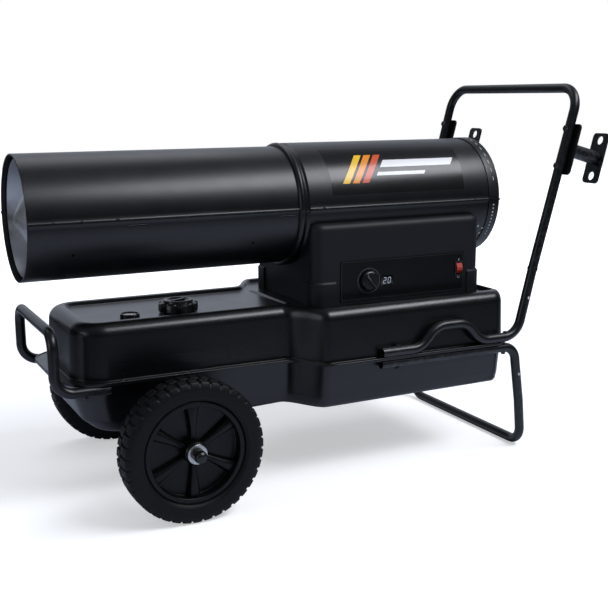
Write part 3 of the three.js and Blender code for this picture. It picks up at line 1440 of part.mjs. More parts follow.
function buildControls(housing) {
  const back = -HOUSING_HALF - FIT_GAP;
  const plate = block(PANEL_X, PANEL_X + PANEL_WIDTH, FACE_Y, back, PANEL_BASE_Z, PANEL_BASE_Z + PANEL_HEIGHT);
  const displayHole = block(
    DISPLAY_X - DISPLAY_WIDTH / 2,
    DISPLAY_X + DISPLAY_WIDTH / 2,
    FACE_Y - 5,
    back + 5,
    DISPLAY_Z - DISPLAY_HEIGHT / 2,
    DISPLAY_Z + DISPLAY_HEIGHT / 2,
  );
  const panel = cut(plate, knobHole(FACE_Y - 5, back + 5), displayHole, switchHole(FACE_Y - 5, back + 5));
  addPiece(housing, "control_panel", panel, PANEL_BLACK);

  const knobGroup = addGroup(housing, KNOB_X, FACE_Y - FIT_GAP, KNOB_Z);
  const shaftEnd = HOUSING_WALL + 12;
  const dial = revolve(
    [
      [0, -KNOB_DEPTH + 5],
      [KNOB_RADIUS - 3, -KNOB_DEPTH + 5],
      [KNOB_RADIUS - 1, -KNOB_DEPTH + 7],
      [KNOB_RADIUS, 0],
      [KNOB_SHAFT_RADIUS, 0],
      [KNOB_SHAFT_RADIUS, shaftEnd],
      [0, shaftEnd],
    ],
    "y",
    24,
  );
  const gripBar = block(-4, 4, -KNOB_DEPTH, -KNOB_DEPTH + 6, 3 - KNOB_RADIUS, KNOB_RADIUS - 3);
  const knob = addPiece(knobGroup, "thermostat_knob", join(dial, gripBar), BLACK_PLASTIC);
  knob.rotation.y = -KNOB_REST_TURN;

  const bodyFront = -HOUSING_INNER_Y + FIT_GAP;
  const thermostat = revolve(
    [
      [KNOB_SHAFT_RADIUS + FIT_GAP, bodyFront],
      [12, bodyFront],
      [12, bodyFront + 14],
      [0, bodyFront + 14],
      [0, bodyFront + 12.5],
      [KNOB_SHAFT_RADIUS + FIT_GAP, bodyFront + 12.5],
      [KNOB_SHAFT_RADIUS + FIT_GAP, bodyFront],
    ],
    "y",
    10,
  ).translate(KNOB_X, 0, KNOB_Z);
  addPiece(housing, "thermostat_body", thermostat, BLACK_PLASTIC);

  buildSwitch(housing);
}

const KNOB_REST_TURN = THREE.MathUtils.degToRad(40);

function buildSwitch(housing) {
  const bezelFront = FACE_Y - FIT_GAP - BEZEL_PROUD;
  const bezelGroup = addGroup(housing, SWITCH_X, 0, SWITCH_Z);
  const halfWidth = ROCKER_WIDTH / 2 + FIT_GAP;
  const halfHeight = ROCKER_HEIGHT / 2 + 1;
  const rim = block(
    -halfWidth - BEZEL_BORDER,
    halfWidth + BEZEL_BORDER,
    bezelFront,
    FACE_Y - FIT_GAP,
    -halfHeight - BEZEL_BORDER,
    halfHeight + BEZEL_BORDER,
  );
  const body = block(
    -halfWidth - 1.3,
    halfWidth + 1.3,
    FACE_Y - 1,
    FACE_Y + SWITCH_DEPTH,
    -halfHeight - 0.6,
    halfHeight + 0.6,
  );
  const pocket = block(
    -halfWidth,
    halfWidth,
    bezelFront - 5,
    FACE_Y + SWITCH_DEPTH - 2,
    -halfHeight,
    halfHeight,
  );
  addPiece(bezelGroup, "switch_body", cut(join(rim, body), pocket), BLACK_PLASTIC);

  const half = ROCKER_HEIGHT / 2;
  const face = 3.2;
  const root = 6;
  const section = [
    [-half, -face],
    [0, -face + 1.4],
    [half, -face],
    [half - 1, 1],
    [3, root],
    [-3, root],
    [1 - half, 1],
  ].map(([x, y]) => new THREE.Vector2(x, y));
  const rocker = prism(section, -ROCKER_WIDTH / 2, ROCKER_WIDTH / 2);
  rocker.rotateY(Math.PI / 2).rotateX(Math.PI);
  const pivot = addGroup(bezelGroup, 0, rockerPivotY, 0);
  const mesh = addPiece(pivot, "power_rocker", rocker, SWITCH_RED);
  mesh.rotation.x = ROCKER_TILT;
}

const rockerPivotY = FACE_Y + 1;

function buildElectrics(housing) {
  const boardY = -HOUSING_INNER_Y + BOARD_STANDOFF;
  const board = block(BOARD_X, BOARD_X + BOARD_WIDTH, boardY, boardY + BOARD_SHEET, BOARD_Z, BOARD_Z + BOARD_HEIGHT);
  const posts = [-1, 1].flatMap((across) =>
    [-1, 1].map((up) =>
      bar(3, -HOUSING_INNER_Y + FIT_GAP, boardY + 1, "y", 8).translate(
        BOARD_X + BOARD_WIDTH / 2 + across * (BOARD_WIDTH / 2 - 6),
        0,
        BOARD_Z + BOARD_HEIGHT / 2 + up * (BOARD_HEIGHT / 2 - 6),
      ),
    ),
  );
  const display = block(
    DISPLAY_X - DISPLAY_WIDTH / 2 + FIT_GAP,
    DISPLAY_X + DISPLAY_WIDTH / 2 - FIT_GAP,
    FACE_Y,
    boardY + 1,
    DISPLAY_Z - DISPLAY_HEIGHT / 2 + FIT_GAP,
    DISPLAY_Z + DISPLAY_HEIGHT / 2 - FIT_GAP,
  );
  addPiece(housing, "circuit_board", join(board, ...posts, display), BOARD_GREEN);

  const coil = block(
    COIL_BOX_X,
    COIL_BOX_X + COIL_BOX_LENGTH,
    COIL_BOX_Y - COIL_BOX_WIDTH / 2,
    COIL_BOX_Y + COIL_BOX_WIDTH / 2,
    PANEL_SEAT_Z,
    PANEL_SEAT_Z + COIL_BOX_HEIGHT,
  );
  addPiece(housing, "ignition_transformer", coil, BLACK_PLASTIC);

  const gland = revolve(
    [
      [GLAND_RADIUS - 4, HOUSING_REAR_X - HOUSING_WALL - 8],
      [GLAND_RADIUS, HOUSING_REAR_X - HOUSING_WALL - 8],
      [GLAND_RADIUS, HOUSING_REAR_X + FIT_GAP],
      [GLAND_RADIUS + 4, HOUSING_REAR_X + FIT_GAP],
      [GLAND_RADIUS + 4, HOUSING_REAR_X + 6],
      [GLAND_RADIUS, HOUSING_REAR_X + 12],
      [GLAND_RADIUS - 4, HOUSING_REAR_X + 12],
    ],
    "x",
    10,
  );
  addPiece(addGroup(housing, 0, GLAND_Y, GLAND_Z), "cord_gland", gland, BLACK_PLASTIC);
}

// ---------------------------------------------------------------- fuel and air lines

function buildLines() {
  const lines = addGroup(heater);
  const sides = 6;
  const filterZ = LINE_LEVEL_Z;
  const filter = revolve(
    [
      [0, FILTER_X],
      [LINE_RADIUS, FILTER_X],
      [FILTER_RADIUS, FILTER_X + 8],
      [FILTER_RADIUS, FILTER_X + FILTER_LENGTH - 8],
      [LINE_RADIUS, FILTER_X + FILTER_LENGTH],
      [0, FILTER_X + FILTER_LENGTH],
    ],
    "x",
    12,
  ).translate(0, FUEL_LINE_Y, filterZ);

  const pickup = bentTube(
    [
      vector(pickupX, FUEL_LINE_Y, TANK_BOTTOM_Z + 16),
      vector(pickupX, FUEL_LINE_Y, filterZ),
      vector(FILTER_X + FILTER_LENGTH - 6, FUEL_LINE_Y, filterZ),
    ],
    [12],
    LINE_RADIUS,
    sides,
  );
  addPiece(lines, "fuel_filter", join(filter, pickup), FILTER_WHITE);

  const fuelLine = bentTube(
    [
      vector(FILTER_X - FIT_GAP, FUEL_LINE_Y, filterZ),
      vector(airRiseX, FUEL_LINE_Y, filterZ),
      vector(airRiseX, FUEL_LINE_Y, BARREL_Z - 2),
    ],
    [14],
    LINE_RADIUS,
    sides,
  );
  addPiece(lines, "fuel_line", fuelLine, COPPER);

  const pumpBottom = BARREL_Z - Math.sqrt(PUMP_RADIUS ** 2 - AIR_LINE_Y ** 2) - 2.6;
  const airLine = bentTube(
    [
      vector(pumpOutletX, AIR_LINE_Y, pumpBottom),
      vector(pumpOutletX, AIR_LINE_Y, filterZ),
      vector(airRiseX, AIR_LINE_Y, filterZ),
      vector(airRiseX, AIR_LINE_Y, BARREL_Z - 2),
    ],
    [14, 14],
    LINE_RADIUS,
    sides,
  );
  addPiece(lines, "air_line", airLine, FILTER_WHITE);
}

// ---------------------------------------------------------------- the whole heater

buildTank();
buildFiller();
buildGauge();
buildFrontHandle();
buildHandles();
buildStand();
buildCordWraps();
buildWheels();
buildBarrel();
buildHousing();
buildLines();

const extent = new THREE.Box3().setFromObject(heater);
heater.position.x = -(extent.min.x + extent.max.x) / 2;

export default heater;
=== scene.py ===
import logging
import math
from dataclasses import dataclass, field
from enum import Enum
from typing import Iterable, Optional, Sequence

import bmesh
import bpy
import numpy as np
from mathutils import Matrix, Vector
from mathutils.geometry import tessellate_polygon


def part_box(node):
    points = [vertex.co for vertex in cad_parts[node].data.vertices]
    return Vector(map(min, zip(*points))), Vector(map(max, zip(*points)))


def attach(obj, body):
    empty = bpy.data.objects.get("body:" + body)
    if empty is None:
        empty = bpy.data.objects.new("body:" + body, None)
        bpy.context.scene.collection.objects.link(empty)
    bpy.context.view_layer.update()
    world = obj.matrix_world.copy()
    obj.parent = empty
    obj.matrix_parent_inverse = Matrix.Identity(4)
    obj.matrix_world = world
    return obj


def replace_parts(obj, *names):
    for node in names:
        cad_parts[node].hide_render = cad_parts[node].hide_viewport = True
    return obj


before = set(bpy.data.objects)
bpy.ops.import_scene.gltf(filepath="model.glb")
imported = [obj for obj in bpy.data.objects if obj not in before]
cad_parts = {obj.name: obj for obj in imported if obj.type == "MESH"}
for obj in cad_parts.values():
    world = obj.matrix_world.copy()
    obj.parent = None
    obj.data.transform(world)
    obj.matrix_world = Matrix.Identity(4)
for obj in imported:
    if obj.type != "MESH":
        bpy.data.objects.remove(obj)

log = logging.getLogger("heater")
Array = np.ndarray

MM = 0.001
OUTLET_X = -230.0  # the barrel's mouth in the design, in millimetres
FRAME_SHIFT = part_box("front_upper_shell")[0].x / MM - OUTLET_X
BARREL_Z = 513.0
PARTING_Z = 231.5


class Axis(Enum):
    """The axis that a turned piece is turned about."""

    X = "x"
    Y = "y"
    Z = "z"


# ------------------------------------------------------------------ surfaces


class Skin:
    """Points and faces of one piece, gathered surface by surface, in millimetres of the design."""

    def __init__(self) -> None:
        """Starts with no points."""
        self.points: list[Array] = []
        self.faces: list[list[int]] = []
        self.count = 0

    def add(self, points: Array, faces: Iterable[Sequence[int]]) -> "Skin":
        """Adds points and the faces that use them.

        Args:
            points: n by 3 array.
            faces: lists of indices into points.
        Returns:
            The skin itself, so that calls can be chained.
        """
        start = self.count
        self.points.append(np.asarray(points, float).reshape(-1, 3))
        self.faces.extend([[i + start for i in face] for face in faces])
        self.count += len(self.points[-1])
        return self

    def grid(self, grid: Array, rows_close: bool = False, columns_close: bool = True,
             cap_first: bool = False, cap_last: bool = False) -> "Skin":
        """Adds a surface given as a grid of points: each square of neighbours is a face.

        Args:
            grid: rows by columns by 3 array.
            rows_close: whether the last row joins the first.
            columns_close: whether the last column joins the first.
            cap_first: whether the first row is closed with one face.
            cap_last: whether the last row is closed with one face.
        Returns:
            The skin itself.
        """
        rows, columns = grid.shape[:2]
        index = np.arange(rows * columns).reshape(rows, columns)
        if rows_close:
            index = np.vstack([index, index[:1]])
        if columns_close:
            index = np.hstack([index, index[:, :1]])
        quads = np.stack([index[:-1, :-1], index[:-1, 1:], index[1:, 1:], index[1:, :-1]], -1)
        faces = quads.reshape(-1, 4).tolist()
        if cap_first:
            faces.append(list(range(columns))[::-1])
        if cap_last:
            faces.append(list(range((rows - 1) * columns, rows * columns)))
        return self.add(grid.reshape(-1, 3), faces)

    def sheet(self, outline: Array, holes: Sequence[Array]) -> "Skin":
        """Adds a flat sheet inside an outline, left open at its holes.

        Args:
            outline: n by 3 points round the sheet.
            holes: one m by 3 array for each hole.
        Returns:
            The skin itself.
        """
        loops = [outline, *holes]
        triangles = tessellate_polygon([[Vector(p) for p in loop] for loop in loops])
        return self.add(np.vstack(loops), [list(t) for t in triangles])

    def merge(self, other: "Skin") -> "Skin":
        """Adds all of another skin."""
        return self.add(np.vstack(other.points), other.faces)

    def turned(self, matrix: Matrix) -> "Skin":
        """A copy of the skin that a 4 by 4 matrix has moved."""
        moved = Skin()
        turn = np.array(matrix.to_3x3())
        points = np.vstack(self.points) @ turn.T + np.array(matrix.translation)
        return moved.add(points, self.faces)

    def make(self, name: str, material: bpy.types.Material, body: str, slot: str,
             sharp: float = 35.0, uv: Optional[Array] = None) -> bpy.types.Object:
        """Makes the piece: doubles merged, faces outwards, smooth but for its sharp edges.

        Args:
            name: the piece's name.
            material: its finish.
            body: the CAD body that it rides on.
            slot: not used.
            sharp: the angle in degrees past which an edge stays sharp.
            uv: one pair of numbers for each point, where the finish follows the surface.
        Returns:
            The new object, at the origin.
        """
        points = np.vstack(self.points)
        points = (points + np.array([FRAME_SHIFT, 0.0, 0.0])) * MM
        mesh = bpy.data.meshes.new(name)
        mesh.from_pydata(points.tolist(), [], self.faces)
        if uv is None:
            work = bmesh.new()
            work.from_mesh(mesh)
            bmesh.ops.remove_doubles(work, verts=work.verts, dist=2e-6)
            bmesh.ops.dissolve_degenerate(work, edges=work.edges, dist=1e-7)
            bmesh.ops.recalc_face_normals(work, faces=work.faces)
            work.to_mesh(mesh)
            work.free()
        else:
            layer = mesh.uv_layers.new(name="UVMap")
            corners = np.zeros(len(mesh.loops), np.int32)
            mesh.loops.foreach_get("vertex_index", corners)
            layer.data.foreach_set("uv", uv[corners].astype(np.float32).ravel())
        mesh.polygons.foreach_set("use_smooth", [True] * len(mesh.polygons))
        mesh.set_sharp_from_angle(angle=math.radians(sharp))
        mesh.materials.append(material)
        piece = bpy.data.objects.new(name, mesh)
        bpy.context.scene.collection.objects.link(piece)
        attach(piece, body)
        log.info("%s: %d faces on %s", name, len(mesh.polygons), body)
        return piece


def rounded(points: Sequence[Sequence[float]], radii: Sequence[float], steps: int = 6,
            closed: bool = False) -> Array:
    """A broken line with its corners turned into arcs.

    Each arc touches both lines of its corner. Its centre lies on their bisector, and its
    points are the two radii from that centre blended by angle.

    Args:
        points: the corners, in two or three dimensions.
        radii: one radius for each corner, or one for all.
        steps: how many parts each arc has.
        closed: whether the line returns to its first corner.
    Returns:
        The line's points.
    """
    corners = np.asarray(points, float)
    total = len(corners)
    reach = list(radii) if len(radii) == total else [radii[0]] * total
    line: list[Array] = []
    for i in range(total):
        if not closed and i in (0, total - 1) or reach[i] <= 0:
            line.append(corners[i][None])
            continue
        before, after = corners[i - 1] - corners[i], corners[(i + 1) % total] - corners[i]
        before_length, after_length = np.linalg.norm(before), np.linalg.norm(after)
        before, after = before / before_length, after / after_length
        half = math.acos(float(np.clip(before @ after, -1, 1))) / 2
        if abs(half - math.pi / 2) < 1e-3 or half < 1e-3:
            line.append(corners[i][None])
            continue
        radius = min(reach[i], 0.49 * min(before_length, after_length) * math.tan(half))
        centre = corners[i] + (before + after) / np.linalg.norm(before + after) * radius / math.sin(half)
        touch = radius / math.tan(half)
        a, b = corners[i] + before * touch - centre, corners[i] + after * touch - centre
        sweep = math.pi - 2 * half
        share = np.linspace(0, 1, steps + 1)[:, None]
        arc = (np.sin((1 - share) * sweep) * a + np.sin(share * sweep) * b) / math.sin(sweep)
        line.append(centre + arc)
    return np.vstack(line)


def circle(radius: float, count: int = 48) -> Array:
    """Points evenly round a circle, as an n by 2 array."""
    angle = np.linspace(0, 2 * math.pi, count, endpoint=False)
    return np.stack([radius * np.cos(angle), radius * np.sin(angle)], -1)


def revolve(profile: Array, axis: Axis, centre: Sequence[float] = (0, 0, 0), sides: int = 64,
            closed: bool = True, start: float = 0.0, turn: float = 2 * math.pi) -> Skin:
    """A turned surface: each profile point (radius, along) goes round the axis.

    Args:
        profile: n by 2 array of radius and place along the axis.
        axis: the axis of turning.
        centre: a point on the axis.
        sides: how many steps round.
        closed: whether the profile returns to its first point.
        start: the first angle, in radians.
        turn: how far the profile goes round.
    Returns:
        The skin. A part turn of a closed profile has its two ends closed.
    """
    whole = turn > 2 * math.pi - 1e-6
    angle = start + np.linspace(0, turn, sides + (0 if whole else 1), endpoint=not whole)
    radius, along = profile[:, 0][:, None], np.broadcast_to(profile[:, 1][:, None],
                                                            (len(profile), len(angle)))
    u, v = radius * np.cos(angle), radius * np.sin(angle)
    order = {Axis.X: (along, u, v), Axis.Y: (u, along, v), Axis.Z: (u, v, along)}[axis]
    grid = np.stack(order, -1) + np.asarray(centre, float)
    if whole:
        return Skin().grid(grid, rows_close=closed)
    return Skin().grid(grid.transpose(1, 0, 2), columns_close=closed, cap_first=closed, cap_last=closed)


def tube(path: Array, section: Array, caps: bool = True) -> Skin:
    """A section carried along a path.

    The frame at each point is the frame before it, turned by the least turn that takes one
    direction of travel to the next, so the section doesn't twist.

    Args:
        path: n by 3 points.
        section: m by 2 points across the path.
        caps: whether the ends are closed.
    Returns:
        The skin.
    """
    travel = np.gradient(path, axis=0)
    travel /= np.linalg.norm(travel, axis=1)[:, None]
    side = np.cross(travel[0], [0.0, 0.0, 1.0])
    if np.linalg.norm(side) < 0.1:
        side = np.cross(travel[0], [0.0, 1.0, 0.0])
    sides = [side / np.linalg.norm(side)]
    for here in travel[1:]:
        flat = sides[-1] - here * (sides[-1] @ here)
        sides.append(flat / np.linalg.norm(flat))
    across = np.array(sides)
    up = np.cross(travel, across)
    grid = path[:, None] + section[None, :, :1] * across[:, None] + section[None, :, 1:] * up[:, None]
    return Skin().grid(grid, cap_first=caps, cap_last=caps)


def loft(rings: Sequence[Array], cap_first: bool = True, cap_last: bool = True,
         rows_close: bool = False) -> Skin:
    """A surface through rings of points, one after the other."""
    return Skin().grid(np.stack(rings), rows_close=rows_close, cap_first=cap_first, cap_last=cap_last)


def inset(outline: Array, distance: float) -> Array:
    """An outline drawn in by a distance: each point moves along the mean of its two edges' normals.

    Args:
        outline: n by 2 points, counter-clockwise.
        distance: how far in, or out where it is negative.
    Returns:
        The new outline.
    """
    ahead = np.roll(outline, -1, 0) - outline
    ahead /= np.linalg.norm(ahead, axis=1)[:, None] + 1e-12
    behind = np.roll(ahead, 1, 0)
    normal = np.stack([-(ahead + behind)[:, 1], (ahead + behind)[:, 0]], -1)
    length = np.linalg.norm(normal, axis=1)[:, None] + 1e-12
    scale = 1 / np.clip(length / 2, 0.5, 1)
    return outline + normal / length * distance * scale


def slab(outline: Array, low: float, high: float, edge: float = 0.5, steps: int = 3) -> Skin:
    """A flat slab on an outline in X and Y, from low to high in Z, with rounded edges.

    Near each face the outline is drawn in by edge times one less the cosine of the angle,
    while its height goes by edge times the sine.

    Args:
        outline: n by 2 points, counter-clockwise.
        low: the lower face.
        high: the upper face.
        edge: the radius of its edges.
        steps: how many steps each edge has.
    Returns:
        The skin.
    """
    angle = np.linspace(0, math.pi / 2, steps + 1)
    rows = [(edge * (1 - math.sin(a)), low + edge * (1 - math.cos(a))) for a in angle]
    rows += [(edge * (1 - math.cos(a)), high - edge * (1 - math.sin(a))) for a in angle]
    rings = [np.column_stack([inset(outline, d), np.full(len(outline), z)]) for d, z in rows]
    return loft(rings)


def rectangle(width: float, height: float, radius: float, steps: int = 5) -> Array:
    """A rectangle about the origin with rounded corners, counter-clockwise, as n by 2 points."""
    w, h = width / 2, height / 2
    return rounded([[-w, -h], [w, -h], [w, h], [-w, h]], [radius], steps, closed=True)


def placed(at: Sequence[float], normal: Sequence[float], spin: float = 0.0) -> Matrix:
    """The matrix that stands a piece's Z axis along a normal at a point.

    Args:
        at: where the piece's origin goes.
        normal: the direction its Z axis takes.
        spin: a turn about its own axis first, in degrees.
    Returns:
        The 4 by 4 matrix.
    """
    turn = Vector(normal).to_track_quat("Z", "Y").to_matrix().to_4x4()
    return Matrix.Translation(Vector(at)) @ turn @ Matrix.Rotation(math.radians(spin), 4, "Z")


class Drive(Enum):
    """What a screw is turned by."""

    CROSS = "cross"
    HEX = "hex"
    PLAIN = "plain"


def screw_head(radius: float, height: float, drive: Drive) -> Skin:
    """A fastener's head on the plane Z = 0.

    A pan head's height falls off as the square root of one less the fourth power of the
    share of its radius, less a cross-shaped dip. A hex head is a slab on six corners.

    Args:
        radius: of the head, or across the corners of a hex.
        height: of the head.
        drive: what it is turned by.
    Returns:
        The skin.
    """
    if drive is Drive.HEX:
        corners = circle(radius, 6)
        head = slab(rounded(corners, [radius * 0.1], 2, closed=True), 0.6, height, radius * 0.1)
        return head.merge(revolve(np.array([[0, 0], [radius * 1.25, 0], [radius * 1.25, 0.9], [0, 0.9]]),
                                  Axis.Z, sides=28, closed=False))
    share = np.array([1.0, 1.0, 0.96, 0.85, 0.68, 0.5, 0.36, 0.24, 0.12, 0.0])[:, None]
    angle = np.linspace(0, 2 * math.pi, 32, endpoint=False)[None]
    x, y = radius * share * np.cos(angle), radius * share * np.sin(angle)
    z = height * np.sqrt(np.clip(1 - share**4, 0, 1)) * np.ones_like(angle)
    if drive is Drive.CROSS:
        slot = np.exp(-((np.minimum(abs(x), abs(y)) / (0.13 * radius)) ** 4))
        within = np.exp(-((np.hypot(x, y) / (0.58 * radius)) ** 8))
        z = z - 0.55 * height * slot * within
    z[0] = 0.0
    z[1] = height * 0.12
    return Skin().grid(np.stack([x, y, z], -1), cap_first=True)


# ------------------------------------------------------------------ finishes


class Tree:
    """A short way to place and join the nodes of one node tree."""

    def __init__(self, tree: bpy.types.NodeTree) -> None:
        """Keeps the tree."""
        self.tree = tree

    def node(self, kind: str, inputs: Optional[dict] = None, **settings) -> bpy.types.Node:
        """Places a node.

        Args:
            kind: the node's type name, without its ShaderNode prefix.
            inputs: socket name or number to a value, or to an output to join.
            settings: the node's own settings.
        Returns:
            The node.
        """
        made = self.tree.nodes.new(kind if kind.startswith("Node") else "ShaderNode" + kind)
        for key, value in settings.items():
            setattr(made, key, value)
        for key, value in (inputs or {}).items():
            if isinstance(value, bpy.types.NodeSocket):
                self.tree.links.new(value, made.inputs[key])
            else:
                made.inputs[key].default_value = value
        return made

    def math(self, operation: str, *values, clamp: bool = False) -> bpy.types.NodeSocket:
        """A Math node of one operation on numbers or outputs, as its output."""
        inputs = dict(enumerate(values))
        return self.node("Math", inputs, operation=operation, use_clamp=clamp).outputs[0]

    def ramp(self, value: bpy.types.NodeSocket, low: float, high: float) -> bpy.types.NodeSocket:
        """The value taken smoothly from 0 at low to 1 at high."""
        made = self.node("MapRange", {"Value": value, "From Min": low, "From Max": high},
                         interpolation_type="SMOOTHSTEP")
        return made.outputs[0]

    def noise(self, scale: float, detail: float = 3.0, vector: Optional[bpy.types.NodeSocket] = None,
              roughness: float = 0.5) -> bpy.types.NodeSocket:
        """Noise of a scale per metre, between 0 and 1."""
        inputs = {"Scale": scale, "Detail": detail, "Roughness": roughness}
        if vector is not None:
            inputs["Vector"] = vector
        return self.node("TexNoise", inputs).outputs[0]

    def blend(self, share, first, second) -> bpy.types.NodeSocket:
        """The first colour turned into the second by a share."""
        return self.node("Mix", {0: share, 6: first, 7: second}, data_type="RGBA").outputs[2]

    def place(self) -> bpy.types.NodeSocket:
        """The point's place on the object, in metres."""
        return self.node("TexCoord").outputs["Object"]


def shared_group(name: str, inputs: dict[str, float], outputs: dict[str, str]) -> tuple[Tree, bpy.types.Node,
                                                                                        bpy.types.Node]:
    """Opens a new node group with named sockets.

    Args:
        name: the group's name.
        inputs: name to default number.
        outputs: name to socket type.
    Returns:
        The tree, its input node and its output node.
    """
    group = bpy.data.node_groups.new(name, "ShaderNodeTree")
    for key, value in inputs.items():
        socket = group.interface.new_socket(name=key, in_out="INPUT", socket_type="NodeSocketFloat")
        socket.default_value = value
    for key, kind in outputs.items():
        group.interface.new_socket(name=key, in_out="OUTPUT", socket_type=kind)
    tree = Tree(group)
    return tree, tree.node("NodeGroupInput"), tree.node("NodeGroupOutput")


class Effects:
    """The shader groups that several finishes use."""

    def __init__(self) -> None:
        """Builds each group once."""
        self.relief = self._relief()
        self.mottle = self._mottle()
        self.wear = self._wear()
        self.dust = self._dust()
        self.scuffs = self._scuffs()

    def _relief(self) -> bpy.types.NodeTree:
        """Fine surface relief: two sizes of noise, the smaller at a third of the height."""
        tree, start, end = shared_group("fine relief", {"Scale": 900.0}, {"Height": "NodeSocketFloat"})
        place = tree.place()
        coarse = tree.node("TexNoise", {"Vector": place, "Scale": start.outputs["Scale"], "Detail": 2.0})
        finer = tree.math("MULTIPLY", start.outputs["Scale"], 3.1)
        fine = tree.node("TexNoise", {"Vector": place, "Scale": finer, "Detail": 2.0})
        total = tree.math("ADD", coarse.outputs[0], tree.math("MULTIPLY", fine.outputs[0], 0.33))
        tree.tree.links.new(total, end.inputs["Height"])
        return tree.tree

    def _mottle(self) -> bpy.types.NodeTree:
        """Slow changes over a surface, about zero, for tone and gloss."""
        tree, start, end = shared_group("slow mottle", {"Scale": 9.0}, {"Value": "NodeSocketFloat"})
        made = tree.node("TexNoise", {"Vector": tree.place(), "Scale": start.outputs["Scale"], "Detail": 5.0,
                                      "Roughness": 0.6})
        tree.tree.links.new(tree.math("SUBTRACT", made.outputs[0], 0.5), end.inputs["Value"])
        return tree.tree

    def _wear(self) -> bpy.types.NodeTree:
        """Rubbed edges: the surface's pointiness, broken up by noise."""
        tree, start, end = shared_group("rubbed edges", {"Amount": 0.5}, {"Mask": "NodeSocketFloat"})
        edge = tree.ramp(tree.node("NewGeometry").outputs["Pointiness"], 0.515, 0.6)
        broken = tree.ramp(tree.noise(130.0, 4.0, tree.place()), 0.42, 0.68)
        mask = tree.math("MULTIPLY", tree.math("MULTIPLY", edge, broken), start.outputs["Amount"], clamp=True)
        tree.tree.links.new(mask, end.inputs["Mask"])
        return tree.tree

    def _dust(self) -> bpy.types.NodeTree:
        """Dust: more where the surface looks up, in soft patches."""
        tree, start, end = shared_group("settled dust", {"Amount": 0.3}, {"Mask": "NodeSocketFloat"})
        normal = tree.node("SeparateXYZ", {0: tree.node("NewGeometry").outputs["True Normal"]}).outputs[2]
        upward = tree.ramp(normal, 0.25, 1.0)
        patches = tree.ramp(tree.noise(22.0, 6.0, tree.place(), 0.65), 0.35, 0.75)
        specks = tree.ramp(tree.noise(700.0, 2.0, tree.place()), 0.55, 0.75)
        spread = tree.math("ADD", tree.math("MULTIPLY", patches, 0.6), tree.math("MULTIPLY", specks, 0.4))
        mask = tree.math("MULTIPLY", tree.math("MULTIPLY", upward, spread), start.outputs["Amount"],
                         clamp=True)
        tree.tree.links.new(mask, end.inputs["Mask"])
        return tree.tree

    def _scuffs(self) -> bpy.types.NodeTree:
        """Hairline scuffs: thin bands of noise stretched along each of two slanted directions."""
        tree, start, end = shared_group("hairline scuffs", {"Amount": 0.3}, {"Mask": "NodeSocketFloat"})
        lines = []
        for turn, stretch in (((0.3, 0.2, 0.5), (9.0, 260.0, 200.0)),
                              ((0.9, -0.4, -0.7), (240.0, 12.0, 220.0))):
            mapped = tree.node("Mapping", {"Vector": tree.place(), "Rotation": turn, "Scale": stretch})
            lines.append(tree.ramp(tree.noise(1.0, 2.0, mapped.outputs[0]), 0.68, 0.74))
        patches = tree.ramp(tree.noise(14.0, 3.0, tree.place()), 0.5, 0.7)
        both = tree.math("MAXIMUM", *lines)
        mask = tree.math("MULTIPLY", tree.math("MULTIPLY", both, patches), start.outputs["Amount"],
                         clamp=True)
        tree.tree.links.new(mask, end.inputs["Mask"])
        return tree.tree


EFFECTS = Effects()


def shade(value: float, tint: tuple[float, float, float] = (1.0, 1.0, 1.0)) -> tuple[float, float, float,
                                                                                     float]:
    """A linear colour from a grey level and a tint."""
    return (value * tint[0], value * tint[1], value * tint[2], 1.0)


COOL = (0.9, 0.98, 1.14)
LAMP_TINT = (0.94, 0.965, 1.03)  # the lamps lean a little to blue, as the photograph's highlights do
WARM = (1.1, 0.98, 0.82)


